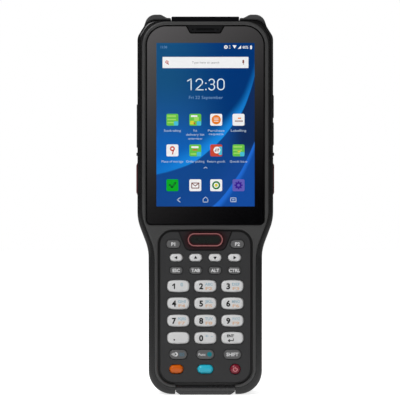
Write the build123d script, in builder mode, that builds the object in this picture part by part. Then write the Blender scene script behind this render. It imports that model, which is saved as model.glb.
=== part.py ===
from build123d import *
import math
import os

# Portable barcode data terminal, standing upright on the flat face of its dock block.
# X runs to the user's right, Y from the screen to the battery door, Z upwards, in mm.
# The origin is the centre of the flat foot face.

# ------------------------------------------------------------------ driving dimensions
# Casing, seen from the front
HEAD_HALF = 35.95  # half-width at the screen
HANDLE_HALF = 30.05  # half-width at the keypad
FLANK_LOW = 77.1  # height where the handle starts to widen
FLANK_HIGH = 92.5  # height where the head has its full width
SHOULDER_DROP = 9.0  # the head starts to narrow this far below its top
CROWN_INSET = 5.55  # the shoulder meets the top this far inside the side
BODY_TOP = 198.6
BODY_BOTTOM = 0.35
FOOT_CORNER = 12.5  # corner radii of the casing's outline
FLANK_RADIUS = 24.0
SHOULDER_RADIUS = 6.0
CROWN_RADIUS = 8.0

# Casing, seen from the side
FRONT = -14.0  # foremost face, the rim of the front housing
HANDLE_BACK = 14.0
HEAD_BACK = 12.0
BACK_STEP_LOW = 101.5  # the back slopes from handle to head between these heights
BACK_STEP_HIGH = 113.0
BACK_STEP_RADIUS = 12.0
BACK_EDGE = 4.0
BAND_EDGE = 1.9
BAND_SETBACK = 0.8  # rear housing's front edge behind the rim
WALL = 2.8
BACK_WALL = 2.4

# Front housing
HEAD_BAND = 2.5  # width of rear housing beside the rim
FLANK_BAND = 2.9
HANDLE_BAND = 3.2
TOP_BAND = 1.0
RIM_WIDTH = 2.3
RIM_CORNER = 12.6
RIM_BOTTOM = 4.1
RIM_FOOT_CORNER = 10.3
RIM_EDGE = 0.9
LIP_SLOPE = 45  # the glass and keypad pockets widen towards the user, in degrees
RIM_WALL = 1.8
HOUSING_GAP = 0.1
GASKET = 0.4
GASKET_WIDTH = 0.8
GASKET_INSET = 0.5
LEDGE_THICKNESS = 1.6  # rear housing's ledge under the gasket
LEDGE_INSET = 4.6
BOSS_RADIUS = 2.4
GASKET_PAD = 1.9

# Glass, liquid crystal panel and earpiece
GLASS_SETBACK = 0.5
GLASS_THICKNESS = 1.2
GLASS_GAP = 0.4
GLASS_BOTTOM = 90.2
GLASS_FOOT_CORNER = 2.5
GLASS_EDGE = 0.4
SEAT_THICKNESS = 1.7  # front housing's ledge behind the glass
LCD_BORDER = 3.8  # glass beyond the panel on both sides
LCD_BOTTOM = 95.8
LCD_DROP = 7.8  # below the top of the glass
LCD_THICKNESS = 1.6
LCD_GAP = 0.15
NOTCH_HALF_TOP = 10.6
NOTCH_HALF_BOTTOM = 7.9
NOTCH_DEPTH = 3.8
NOTCH_CORNER = 1.0
EARPIECE_SLOT = 9.6
EARPIECE_SLOT_HEIGHT = 1.1
EARPIECE_SLOT_DEPTH = 0.8
EARPIECE_SETBACK = 0.2  # cover behind the face of the glass
EARPIECE_BODY = 12.0
EARPIECE_BODY_HEIGHT = 2.8
EARPIECE_BODY_DEPTH = 2.2  # behind the glass seat
EARPIECE_CORNER = 0.9
SENSOR_RADIUS = 0.45
SENSOR_OFFSET = 6.6

# Keypad
PANEL_SETBACK = 1.0
PANEL_THICKNESS = 1.6
PANEL_INSET = 2.75  # from the side of the front housing
PANEL_GAP = 1.0
PANEL_BOTTOM = 6.6
PANEL_TOP = 86.6
PANEL_TOP_CORNER = 6.8
PANEL_FOOT_CORNER = 7.6
PANEL_LEDGE = 0.7
PANEL_EDGE = 0.4
KEY_TRAVEL = 0.8
KEY_FREE = 0.2  # left between a pressed key and the mat
KEY_GAP = 0.3
KEY_FLANGE = 0.35
KEY_FLANGE_THICKNESS = 0.6
KEY_EDGE = 1.2  # front edge radii of the light, dark and coloured keys
DARK_KEY_EDGE = 0.48
COLOUR_KEY_EDGE = 1.9
MAT_THICKNESS = 0.8
BOARD_THICKNESS = 1.0
BOARD_GAP = 0.3
POD_HALF_TOP = 13.7  # trapezoid insert round the scan key
POD_HALF_BOTTOM = 9.9
POD_BOTTOM = 77.0
POD_CORNER = 2.6
POD_RISE = 0.3
POD_PLATE = 1.1
POD_GAP = 0.6

# Key places and sizes: width across, height up
SCAN_KEY = (18.8, 7.2)
SCAN_KEY_Z = 82.2
SCAN_GUIDE_INSET = 0.1  # raised light guide along the edge of the scan key
SCAN_GUIDE_WIDTH = 0.6
SCAN_GUIDE_RISE = 0.3
SCAN_GUIDE_ROUND = 0.26
SCAN_DISH_INSET = 1.35  # shallow dish for the fingertip, inside the light guide
SCAN_DISH_DEPTH = 0.25
PROGRAM_KEY = (7.2, 4.1)
PROGRAM_KEY_X = 16.95
PROGRAM_KEY_Z = 79.9
ARROW_KEY = (6.7, 3.9)
ARROW_PITCH = 10.25
ARROW_ROW = 72.75
CONTROL_KEY = (6.6, 3.7)
CONTROL_ROW = 66.0
DIGIT_KEY = (11.6, 6.3)
DIGIT_BULGE = 0.45
DIGIT_CORNER = 2.2
DIGIT_PITCH_X = 14.3
DIGIT_PITCH_Z = 9.13
DIGIT_TOP_ROW = 57.65
FUNCTION_KEY = (9.2, 4.9)
FUNCTION_ROW = 21.6
ORANGE_KEY = (7.3, 4.6)
ORANGE_KEY_X = -15.3
BLUE_KEY = (8.4, 4.7)
POWER_KEY = (5.5, 5.3)
POWER_KEY_X = 15.8
COLOUR_ROW = 13.75
DARK_KEY_RISE = 0.6
LIGHT_KEY_RISE = 1.0
COLOUR_KEY_RISE = 1.2

# Top end: scan window between two corner guards
GUARD_SPAN = 12.5  # from the side of the crown in to the window frame
TOP_FRAME_RISE = 1.65  # above the rear housing
TOP_FRAME_BACK = 8.5
TOP_FRAME_SETBACK = 1.0
TOP_FRAME_EDGE = 0.7
TOP_GAP = 0.15
WINDOW_WIDTH = 27.0
WINDOW_DEPTH = 14.0
WINDOW_THICKNESS = 1.0
WINDOW_RECESS = 0.3
WINDOW_Y = 0.5
WINDOW_LEDGE = 1.0
# Corner guards: rises and drops from the rear housing's top, widths from the frame and the crown
GUARD_RISE = 2.7
GUARD_STEP_RISE = 0.95
GUARD_STEP_WIDTH = 2.4
GUARD_LOBE_WIDTH = 5.6
GUARD_CROWN_INSET = 0.15
GUARD_CROWN_RADIUS = 5.5
GUARD_NECK_SPREAD = 2.45
GUARD_NECK_DROP = 4.5
GUARD_INNER_DROP = 8.6
GUARD_SETBACK = 1.1
GUARD_BACK = 9.0
GUARD_EDGE = 0.8
GUARD_STEP_RADIUS = 1.5
GUARD_LOBE_RADIUS = 3.0
GUARD_BEVEL = 0.6
GUARD_GAP = 0.1
GUARD_LINE = 0.4  # shadow line between guard and housing
GUARD_LINE_DEPTH = 1.0

# Foot
DOCK_HALF = 15.6
DOCK_BASE = 2.6
DOCK_STEP = 1.3  # the base stands this far behind the lip
DOCK_LIP_LOW = 2.2
DOCK_LIP_TOP = 4.9
DOCK_LIP_FREE = 1.0  # dark recess above the lip
DOCK_LIP_DEPTH = 2.05
DOCK_LIP_EDGE = 1.2
DOCK_GAP = 0.35
DOCK_SETBACK = 0.4
DOCK_BACK = 12.2
DOCK_END_CHAMFER = 2.4
DOCK_END_CHAMFER_HEIGHT = 1.7
DOCK_FRONT_EDGE = 0.9
DOCK_BACK_EDGE = 0.8
CONTACT_COUNT = 6
CONTACT_PITCH = 3.0
CONTACT_SIZE = 1.8
CONTACT_Y = 7.0
CONTACT_RECESS = 0.3
CONTACT_THICKNESS = 0.8

# Side keys, volume rocker and nubs
SIDE_KEY_LOW = 105.1
SIDE_KEY_HIGH = 123.8
SIDE_KEY_PROUD = 0.9
SIDE_KEY_TAPER = 2.2
SIDE_KEY_Y = -1.6
SIDE_KEY_WIDTH = 6.4
SIDE_KEY_GAP = 0.15
SIDE_KEY_FLANGE = 0.6
SIDE_KEY_FLANGE_THICKNESS = 0.8
SIDE_KEY_EDGE = 0.5
ROCKER_LOW = 131.7
ROCKER_HIGH = 159.7
ROCKER_DIP = 1.6
ROCKER_PROUD = 0.6
ROCKER_Y = -3.0
ROCKER_WIDTH = 6.0
ROCKER_GAP = 0.25
ROCKER_BACK = 1.3  # how far it reaches inside the casing's side
ROCKER_POCKET = 2.15
ROCKER_DISH = 1.0
TRUNNION_RADIUS = 0.5
TRUNNION_LENGTH = 0.9
TRUNNION_DEPTH = 0.7
TRUNNION_GAP = 0.05
NUB_Z = 127.5
NUB_RADIUS = 0.85
NUB_PROUD = 0.6
NUB_Y = -8.6

# Port lid, its pin and the socket behind it
LID_LOW = 131.2
LID_HIGH = 153.9
LID_PROUD = 0.5
LID_INSIDE = 1.3
LID_FRONT = -9.2
LID_HINGE_Y = 0.6
LID_HINGE_INSIDE = 0.7  # pin axis inside the casing's side
LID_GAP = 0.2
LID_KNUCKLE_POCKET = 0.4
LID_PLUG_DEPTH = 0.7
LID_PLUG_GAP = 0.35
LID_PLUG_CORNER = 0.4
LID_EDGE = 0.35
PIN_RADIUS = 0.35
PIN_BORE_GAP = 0.05
PIN_END = 1.2
PORT_Z = 142.5
PORT_WIDTH = 8.94
PORT_HEIGHT = 3.2
PORT_DEPTH = 7.3
PORT_WALL = 0.35
PORT_GAP = 0.25
PORT_SETBACK = 2.2  # socket's mouth behind the casing's side
PORT_TONGUE = 0.8
PORT_TONGUE_WIDTH = 6.8

# Main board and what stands on it
MAIN_BOARD_FREE = 2.4  # to the inside of the head's sides
MAIN_BOARD_LOW = 99.0
MAIN_BOARD_DROP = 11.6  # below the head's top
MAIN_BOARD_CORNER = 2.0
BOSS_REACH = 1.2  # the bosses that carry it stand this far behind the front housing
CAN_HEIGHT = 1.6
CAN_CORNER = 0.4
# Cans: x and height from the board's middle, width and height
CANS = [(-3.0, 7.0, 30.0, 34.0), (0.0, -26.0, 34.0, 16.0), (18.0, 25.0, 12.0, 12.0)]
HEAD_SCREW_INSET = 7.2  # from the head's side
HEAD_SCREW_LOW = 102.4
HEAD_SCREW_DROP = 16.0  # below the head's top
HANDLE_SCREW_INSET = 5.8  # from the handle's side
HANDLE_SCREW_Z = 9.4
SCREW_RADIUS = 0.8
SCREW_CLEARANCE = 0.3
SCREW_HEAD_RADIUS = 1.8
SCREW_HEAD_HEIGHT = 1.3
SCREW_HEAD_GAP = 0.3
SCREW_REACH = 3.6  # from its head to the face that it bites into
SCREW_GRIP = 2.6
SCREW_TIP_FREE = 0.2
SCREW_SOCKET = 0.7
COLUMN_RADIUS = 3.1
POST_RADIUS = 1.6
POST_X = 12.0
POST_LOW = 24.0
POST_HIGH = 62.0

# Scan engine, loudspeaker and camera in the head
ENGINE_WIDTH = 22.0
ENGINE_DEPTH = 12.4
ENGINE_DROP = 22.1  # its foot below the head's top
ENGINE_HEIGHT = 14.0
ENGINE_LENS_RADIUS = 3.0
ENGINE_LENS_RISE = 1.2
ENGINE_LENS_X = 5.6
ENGINE_CORNER = 0.6
SPEAKER_WIDTH = 15.0
SPEAKER_HEIGHT = 11.0
SPEAKER_DEPTH = 3.5
SPEAKER_CORNER = 1.8
SPEAKER_Z = 124.0
GRILLE_HOLE = 0.6
GRILLE_PITCH = 2.2
GRILLE_COLUMNS = 6
GRILLE_ROWS = 3
CAMERA_DROP = 37.6  # its middle below the housing's top
CAMERA_X = -5.6
LAMP_X = 6.2
CAMERA_WINDOW_WIDTH = 23.0
CAMERA_WINDOW_HEIGHT = 10.0
CAMERA_WINDOW_THICKNESS = 0.9
CAMERA_WINDOW_RECESS = 0.2
CAMERA_WINDOW_GAP = 0.1
CAMERA_BARREL = 3.1
CAMERA_BLOCK = 8.4
CAMERA_BLOCK_DEPTH = 4.0
CAMERA_FLEX = 0.8
LAMP_RADIUS = 1.7
CAMERA_HOLE_GAP = 0.2
CAMERA_FREE = 0.2

# Battery, its compartment and the door with its latch
BATTERY_INSET = 5.8  # from the handle's side
BATTERY_LOW = 15.0
BATTERY_HIGH = 93.0
BATTERY_EDGE = 1.5
BATTERY_GAP = 0.4
BATTERY_FREE = 0.3
COMPARTMENT_FRONT = 0.0
COMPARTMENT_FLOOR = 1.6
HEAD_HOLLOW_LOW = 103.0
DOOR_INSET = 4.1
DOOR_LOW = 12.0
DOOR_HIGH = 98.0
DOOR_THICKNESS = 1.8
DOOR_GAP = 0.15
DOOR_CORNER = 3.0
DOOR_ROUND_FREE = 0.02
PINTLE_RADIUS = 0.55
PINTLE_LENGTH = 0.9
PINTLE_GAP = 0.05
PINTLE_BLOCK = 0.25  # free at the pintle's end
LATCH_HALF = 6.0
LATCH_FLANGE = 0.8
LATCH_BASE = 0.5
LATCH_FLOOR = 1.0  # from the door's outer face to the latch's floor
LATCH_LENGTH = 12.0
LATCH_TRAVEL = 1.8
LATCH_GAP = 0.1
LATCH_PROUD = 0.3
LATCH_RIB_PITCH = 1.5
LATCH_RIB_COUNT = 5
LATCH_TIP = 1.9  # flange end beyond the grip part

# ------------------------------------------------------------------ derived levels
BAND_FRONT = FRONT + BAND_SETBACK
GLASS_FRONT = FRONT + GLASS_SETBACK
GLASS_BACK = GLASS_FRONT + GLASS_THICKNESS
SEAT_BACK = GLASS_BACK + SEAT_THICKNESS
PANEL_FRONT = FRONT + PANEL_SETBACK
PANEL_BACK = PANEL_FRONT + PANEL_THICKNESS
FLANGE_BACK = PANEL_BACK + KEY_FLANGE_THICKNESS
MAT_FRONT = FLANGE_BACK + KEY_TRAVEL + KEY_FREE
MAT_BACK = MAT_FRONT + MAT_THICKNESS
RIM_BACK = MAT_BACK + BOARD_THICKNESS
LEDGE_FRONT = RIM_BACK + GASKET
LEDGE_BACK = LEDGE_FRONT + LEDGE_THICKNESS
MAIN_BOARD_FRONT = RIM_BACK + BOSS_REACH
MAIN_BOARD_BACK = MAIN_BOARD_FRONT + BOARD_THICKNESS
HEAD_INNER_BACK = HEAD_BACK - BACK_WALL
DOOR_FRONT = HANDLE_BACK - DOOR_THICKNESS
BATTERY_BACK = DOOR_FRONT - BATTERY_FREE

SHOULDER = BODY_TOP - SHOULDER_DROP
CROWN_HALF = HEAD_HALF - CROWN_INSET
TOP_FRAME_HALF = CROWN_HALF - GUARD_SPAN
CAMERA_Z = BODY_TOP - CAMERA_DROP
RIM_HEAD_HALF = HEAD_HALF - HEAD_BAND
RIM_HANDLE_HALF = HANDLE_HALF - HANDLE_BAND
RIM_TOP = BODY_TOP - TOP_BAND
GLASS_HALF = RIM_HEAD_HALF - RIM_WIDTH
GLASS_TOP = RIM_TOP - RIM_WIDTH
GLASS_CORNER = RIM_CORNER - RIM_WIDTH
LCD_WIDTH = 2 * (GLASS_HALF - LCD_BORDER)
LCD_TOP = GLASS_TOP - LCD_DROP
PANEL_HALF = RIM_HANDLE_HALF - PANEL_INSET
INNER_SIDE = HEAD_HALF - WALL
FLANK_SLOPE = (HEAD_HALF - HANDLE_HALF) / (FLANK_HIGH - FLANK_LOW)
EARPIECE_Z = GLASS_TOP - NOTCH_DEPTH / 2
NOTCH_FLOOR = RIM_TOP + HOUSING_GAP
MAIN_BOARD_HALF = INNER_SIDE - MAIN_BOARD_FREE
MAIN_BOARD_HIGH = BODY_TOP - MAIN_BOARD_DROP
MAIN_BOARD_MIDDLE = (MAIN_BOARD_LOW + MAIN_BOARD_HIGH) / 2
HEAD_SCREW_X = HEAD_HALF - HEAD_SCREW_INSET
HEAD_SCREW_HIGH = BODY_TOP - HEAD_SCREW_DROP
HEAD_SCREWS = [(side * HEAD_SCREW_X, z) for side in (-1, 1) for z in (HEAD_SCREW_LOW, HEAD_SCREW_HIGH)]
HANDLE_SCREWS = [(side * (HANDLE_HALF - HANDLE_SCREW_INSET), HANDLE_SCREW_Z) for side in (-1, 1)]
POSTS = [(side * POST_X, z) for side in (-1, 1) for z in (POST_LOW, POST_HIGH)]
LID_LENGTH = LID_HIGH - LID_LOW
LID_MIDDLE = (LID_HIGH + LID_LOW) / 2
LID_AXIS_X = -HEAD_HALF + LID_HINGE_INSIDE
KNUCKLE_RADIUS = LID_HINGE_INSIDE + LID_PROUD
PORT_Y = MAIN_BOARD_BACK + PORT_HEIGHT / 2
ROCKER_MIDDLE = (ROCKER_LOW + ROCKER_HIGH) / 2
ROCKER_AXIS_X = HEAD_HALF - TRUNNION_DEPTH
SIDE_KEY_MIDDLE = (SIDE_KEY_LOW + SIDE_KEY_HIGH) / 2
SIDE_KEY_LENGTH = SIDE_KEY_HIGH - SIDE_KEY_LOW
BATTERY_HALF = HANDLE_HALF - BATTERY_INSET
DOOR_HALF = HANDLE_HALF - DOOR_INSET
DOOR_LENGTH = DOOR_HIGH - DOOR_LOW
DOOR_MIDDLE = (DOOR_HIGH + DOOR_LOW) / 2
PINTLE_Y = DOOR_FRONT + DOOR_THICKNESS / 2
PINTLE_Z = DOOR_LOW + DOOR_THICKNESS / 2
SLIDE_HALF = LATCH_HALF + LATCH_FLANGE
LATCH_FLOOR_Y = HANDLE_BACK - LATCH_FLOOR
TOP_OPENING_WIDTH = WINDOW_WIDTH - 2 * WINDOW_LEDGE
TOP_OPENING_DEPTH = WINDOW_DEPTH - 2 * WINDOW_LEDGE
TRUNNION_HALF = ROCKER_WIDTH / 2 + TRUNNION_LENGTH
LID_OUTER_X = -HEAD_HALF - LID_PROUD
LID_INNER_X = -HEAD_HALF + LID_INSIDE
LID_PLUG_GROW = PORT_GAP - LID_PLUG_GAP
PORT_MOUTH_X = -HEAD_HALF + PORT_SETBACK
CAMERA_WINDOW_FRONT = HEAD_BACK - CAMERA_WINDOW_RECESS - CAMERA_WINDOW_THICKNESS
DOCK_FRONT = FRONT + DOCK_SETBACK
DOCK_LIP_BACK = DOCK_FRONT + DOCK_LIP_DEPTH
DOCK_FOOT_HALF = DOCK_HALF - DOCK_END_CHAMFER
GUARD_FRONT = FRONT + GUARD_SETBACK
TOP_FRAME_FRONT = FRONT + TOP_FRAME_SETBACK
TOP_FRAME_TOP = BODY_TOP + TOP_FRAME_RISE
ENGINE_LOW = BODY_TOP - ENGINE_DROP
GUARD_TOP = BODY_TOP + GUARD_RISE
GUARD_STEP_TOP = BODY_TOP + GUARD_STEP_RISE
GUARD_INNER_Z = BODY_TOP - GUARD_INNER_DROP
GUARD_NECK_HALF = CROWN_HALF + GUARD_NECK_SPREAD
WINDOW_SEAT = TOP_FRAME_TOP - WINDOW_RECESS - WINDOW_THICKNESS
POD_BACK = PANEL_FRONT - POD_RISE + POD_PLATE
LATCH_LOW = DOOR_HIGH - LATCH_GAP - LATCH_TIP - LATCH_LENGTH
SCREW_GROUPS = [(HEAD_SCREWS, MAIN_BOARD_FRONT), (HANDLE_SCREWS, RIM_BACK)]

os.makedirs("parts", exist_ok=True)


# ------------------------------------------------------------------ shared shapes
def facing(y):
    """The plane of a front view at depth y, with X across and Z up; it looks at the user."""
    return Plane.XZ.offset(-y)


def level(z):
    """The horizontal plane at height z."""
    return Plane.XY.offset(z)


def flank_height(half, inset):
    """Height at which the slanting flank, moved inwards by inset, has this half-width."""
    lean = math.hypot(1, FLANK_SLOPE)
    return FLANK_LOW + (half - HANDLE_HALF + inset * lean) / FLANK_SLOPE


def outline(corners):
    """A face that is the same left and right, from the corners of its right half: x, z and radius."""
    with BuildSketch() as shape:
        points = [(0, corners[0][1])] + [(x, z) for x, z, _ in corners] + [(0, corners[-1][1])]
        with BuildLine():
            FilletPolyline(*points, radius=[radius for _, _, radius in corners])
            mirror(about=Plane.YZ)
        make_face()
    return shape.sketch


def casing_outline():
    """The rear housing's outline from the front."""
    return outline(
        [
            (HANDLE_HALF, BODY_BOTTOM, FOOT_CORNER),
            (HANDLE_HALF, FLANK_LOW, FLANK_RADIUS),
            (HEAD_HALF, FLANK_HIGH, FLANK_RADIUS),
            (HEAD_HALF, SHOULDER, SHOULDER_RADIUS),
            (CROWN_HALF, BODY_TOP, CROWN_RADIUS),
        ]
    )


def rim_outline():
    """The front housing's outline, inside the band that the rear housing shows."""
    return outline(
        [
            (RIM_HANDLE_HALF, RIM_BOTTOM, RIM_FOOT_CORNER),
            (RIM_HANDLE_HALF, flank_height(RIM_HANDLE_HALF, FLANK_BAND), FLANK_RADIUS + HANDLE_BAND),
            (RIM_HEAD_HALF, flank_height(RIM_HEAD_HALF, FLANK_BAND), FLANK_RADIUS - HEAD_BAND),
            (RIM_HEAD_HALF, RIM_TOP, RIM_CORNER),
        ]
    )


def glass_outline():
    """The glass without its notch."""
    return outline([(GLASS_HALF, GLASS_BOTTOM, GLASS_FOOT_CORNER), (GLASS_HALF, GLASS_TOP, GLASS_CORNER)])


def notch_outline():
    """The notch at the top of the glass that the earpiece's cover fills."""
    return outline(
        [
            (NOTCH_HALF_BOTTOM, GLASS_TOP - NOTCH_DEPTH, NOTCH_CORNER),
            (NOTCH_HALF_TOP, GLASS_TOP + RIM_WIDTH / 2, 0),
        ]
    )


def panel_outline():
    """The keypad's face plate."""
    return outline(
        [(PANEL_HALF, PANEL_BOTTOM, PANEL_FOOT_CORNER), (PANEL_HALF, PANEL_TOP, PANEL_TOP_CORNER)]
    )


def pod_outline(top):
    """The trapezoid insert round the scan key, up to this height."""
    lean = (POD_HALF_TOP - POD_HALF_BOTTOM) / (PANEL_TOP - POD_BOTTOM)
    half_top = POD_HALF_BOTTOM + lean * (top - POD_BOTTOM)
    return outline([(POD_HALF_BOTTOM, POD_BOTTOM, POD_CORNER), (half_top, top, 0)])


def grown(shape, amount):
    """The same outline, moved outwards by this amount."""
    with BuildSketch() as larger:
        offset(shape, amount=amount)
    return larger.sketch


def finish(piece, name):
    """Labels a finished piece and writes it."""
    piece.part.label = name
    export_step(piece.part, f"parts/{name}.step")


# ------------------------------------------------------------------ casing block
# The rear housing before it is hollowed; the corner guards are moulded onto it as well.
with BuildPart() as casing_block:
    with BuildSketch(facing(HANDLE_BACK)):
        add(casing_outline())
    extrude(amount=HANDLE_BACK - BAND_FRONT)
    with BuildSketch(Plane.YZ.offset(-HEAD_HALF)):
        with BuildLine():
            FilletPolyline(
                (HANDLE_BACK, BACK_STEP_LOW - BACK_STEP_RADIUS),
                (HANDLE_BACK, BACK_STEP_LOW),
                (HEAD_BACK, BACK_STEP_HIGH),
                (HEAD_BACK, BODY_TOP + WALL),
                (HANDLE_BACK + WALL, BODY_TOP + WALL),
                (HANDLE_BACK + WALL, BACK_STEP_LOW - BACK_STEP_RADIUS),
                radius=[BACK_STEP_RADIUS, BACK_STEP_RADIUS, 0, 0],
            )
            Line((HANDLE_BACK + WALL, BACK_STEP_LOW - BACK_STEP_RADIUS),
                 (HANDLE_BACK, BACK_STEP_LOW - BACK_STEP_RADIUS))
        make_face()
    extrude(amount=2 * HEAD_HALF, mode=Mode.SUBTRACT)
    crosswise = casing_block.edges().filter_by(Axis.X)
    across = [edge for edge in crosswise if edge.length > 2 * HEAD_HALF - WALL]
    behind = casing_block.edges().filter_by(lambda edge: edge.center().Y > HEAD_BACK - WALL)
    back_edges = [edge for edge in behind if edge not in across]
    fillet(back_edges, radius=BACK_EDGE)
    fillet(casing_block.faces().sort_by(Axis.Y)[0].edges(), radius=BAND_EDGE)


# ------------------------------------------------------------------ rear housing
def side_plane(side):
    """The casing's side at the screen: X across the plane is Y, and it looks outwards."""
    return Plane(origin=(side * HEAD_HALF, 0, 0), x_dir=(0, side, 0), z_dir=(side, 0, 0))


def door_outline(grow):
    """The battery door from the back, enlarged all round by grow."""
    with BuildSketch() as shape:
        with Locations((0, DOOR_MIDDLE)):
            RectangleRounded(2 * (DOOR_HALF + grow), DOOR_LENGTH + 2 * grow, DOOR_CORNER + grow)
            # the hinged end stays square
            with Locations((0, -DOOR_LENGTH / 4)):
                Rectangle(2 * (DOOR_HALF + grow), DOOR_LENGTH / 2 + 2 * grow)
    return shape.sketch


with BuildPart() as rear_housing:
    add(casing_block)
    # pocket for the front housing, the gasket's ledge and the hollow behind it
    with BuildSketch(facing(LEDGE_FRONT)):
        offset(rim_outline(), amount=HOUSING_GAP)
    extrude(amount=LEDGE_FRONT - BAND_FRONT, mode=Mode.SUBTRACT)
    with BuildSketch(facing(LEDGE_BACK)):
        offset(casing_outline(), amount=-LEDGE_INSET)
    extrude(amount=LEDGE_THICKNESS, mode=Mode.SUBTRACT)
    with BuildSketch(facing(COMPARTMENT_FRONT)):
        offset(casing_outline(), amount=-WALL)
    extrude(amount=COMPARTMENT_FRONT - LEDGE_BACK, mode=Mode.SUBTRACT)
    with BuildSketch(facing(HEAD_INNER_BACK)):
        offset(casing_outline(), amount=-WALL)
        Rectangle(2 * HEAD_HALF, 2 * HEAD_HOLLOW_LOW, mode=Mode.SUBTRACT)
    extrude(amount=HEAD_INNER_BACK - COMPARTMENT_FRONT, mode=Mode.SUBTRACT)
    # columns that the screws pull against, and posts behind the keypad board
    with BuildSketch(facing(HEAD_INNER_BACK)):
        with Locations(*HEAD_SCREWS):
            Circle(COLUMN_RADIUS)
    extrude(amount=HEAD_INNER_BACK - MAIN_BOARD_BACK)
    with BuildSketch(facing(COMPARTMENT_FRONT)):
        with Locations(*HANDLE_SCREWS):
            Circle(COLUMN_RADIUS)
    extrude(amount=COMPARTMENT_FRONT - LEDGE_FRONT)
    with BuildSketch(facing(COMPARTMENT_FRONT)):
        with Locations(*POSTS):
            Circle(POST_RADIUS)
    extrude(amount=COMPARTMENT_FRONT - RIM_BACK)
    # screw holes from the back
    for places, bite in SCREW_GROUPS:
        with BuildSketch(facing(HANDLE_BACK)):
            with Locations(*places):
                Circle(SCREW_HEAD_RADIUS + SCREW_HEAD_GAP)
        extrude(amount=HANDLE_BACK - bite - SCREW_REACH, mode=Mode.SUBTRACT)
        with BuildSketch(facing(HANDLE_BACK)):
            with Locations(*places):
                Circle(SCREW_RADIUS + SCREW_CLEARANCE)
        extrude(amount=HANDLE_BACK - bite, mode=Mode.SUBTRACT)
    # battery compartment, the door's seat, its pintle bores and the latch's slot
    with BuildSketch(facing(DOOR_FRONT)):
        with Locations((0, (BATTERY_LOW + BATTERY_HIGH) / 2)):
            RectangleRounded(
                2 * (BATTERY_HALF + BATTERY_GAP),
                BATTERY_HIGH - BATTERY_LOW + 2 * BATTERY_GAP,
                BATTERY_EDGE,
            )
    extrude(amount=DOOR_FRONT - COMPARTMENT_FRONT - COMPARTMENT_FLOOR, mode=Mode.SUBTRACT)
    with BuildSketch(facing(HANDLE_BACK + DOOR_GAP)):
        add(door_outline(DOOR_GAP))
    extrude(amount=DOOR_THICKNESS + DOOR_GAP, mode=Mode.SUBTRACT)
    with BuildSketch(Plane.YZ.offset(-DOOR_HALF - DOOR_GAP)):
        with Locations((PINTLE_Y, PINTLE_Z)):
            Circle(DOOR_THICKNESS / 2 + DOOR_GAP)
    extrude(amount=2 * (DOOR_HALF + DOOR_GAP), mode=Mode.SUBTRACT)
    with BuildSketch(Plane.YZ.offset(-DOOR_HALF - PINTLE_LENGTH - PINTLE_BLOCK)):
        with Locations((PINTLE_Y, PINTLE_Z)):
            Circle(PINTLE_RADIUS + PINTLE_GAP)
    extrude(amount=2 * (DOOR_HALF + PINTLE_LENGTH + PINTLE_BLOCK), mode=Mode.SUBTRACT)
    with BuildSketch(facing(LATCH_FLOOR_Y + LATCH_BASE + LATCH_GAP)):
        with Locations((0, DOOR_HIGH)):
            Rectangle(2 * (SLIDE_HALF + LATCH_GAP), 2 * (LATCH_TRAVEL + LATCH_GAP))
    extrude(amount=LATCH_BASE + 2 * LATCH_GAP, mode=Mode.SUBTRACT)
    # port: opening, the lid's seat and the hollow for its knuckle
    with BuildSketch(side_plane(-1)):
        with Locations((-PORT_Y, PORT_Z)):
            Rectangle(PORT_HEIGHT + 2 * PORT_GAP, PORT_WIDTH + 2 * PORT_GAP)
    extrude(amount=-WALL - LEDGE_THICKNESS, mode=Mode.SUBTRACT)
    with BuildSketch(side_plane(-1)):
        with Locations((-(LID_FRONT - LID_GAP + LID_HINGE_Y) / 2, LID_MIDDLE)):
            Rectangle(LID_HINGE_Y - LID_FRONT + LID_GAP, LID_LENGTH + 2 * LID_GAP)
    extrude(amount=-LID_INSIDE, mode=Mode.SUBTRACT)
    with BuildSketch(level(LID_LOW - LID_GAP)):
        with Locations((LID_AXIS_X, LID_HINGE_Y)):
            Circle(KNUCKLE_RADIUS + LID_KNUCKLE_POCKET)
    extrude(amount=LID_LENGTH + 2 * LID_GAP, mode=Mode.SUBTRACT)
    with BuildSketch(level(LID_LOW - LID_GAP - PIN_END)):
        with Locations((LID_AXIS_X, LID_HINGE_Y)):
            Circle(PIN_RADIUS)
    extrude(amount=LID_LENGTH + 2 * (LID_GAP + PIN_END), mode=Mode.SUBTRACT)
    # openings of the side keys
    for side in (-1, 1):
        with BuildSketch(side_plane(side)):
            with Locations((side * SIDE_KEY_Y, SIDE_KEY_MIDDLE)):
                Rectangle(SIDE_KEY_WIDTH + 2 * SIDE_KEY_GAP, SIDE_KEY_LENGTH + 2 * SIDE_KEY_GAP)
        extrude(amount=-WALL, mode=Mode.SUBTRACT)
    # pocket and bearings of the volume rocker
    with BuildSketch(side_plane(1)):
        with Locations((ROCKER_Y, ROCKER_MIDDLE)):
            Rectangle(ROCKER_WIDTH + 2 * ROCKER_GAP, ROCKER_HIGH - ROCKER_LOW + 2 * ROCKER_GAP)
    extrude(amount=-ROCKER_POCKET, mode=Mode.SUBTRACT)
    with BuildSketch(facing(ROCKER_Y + TRUNNION_HALF + TRUNNION_GAP)):
        with Locations((ROCKER_AXIS_X, ROCKER_MIDDLE)):
            Circle(TRUNNION_RADIUS + TRUNNION_GAP)
    extrude(amount=2 * (TRUNNION_HALF + TRUNNION_GAP), mode=Mode.SUBTRACT)
    # nubs on both sides
    for side in (-1, 1):
        with BuildSketch(side_plane(side)):
            with Locations((side * NUB_Y, NUB_Z)):
                Circle(NUB_RADIUS)
        extrude(amount=NUB_PROUD)
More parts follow.
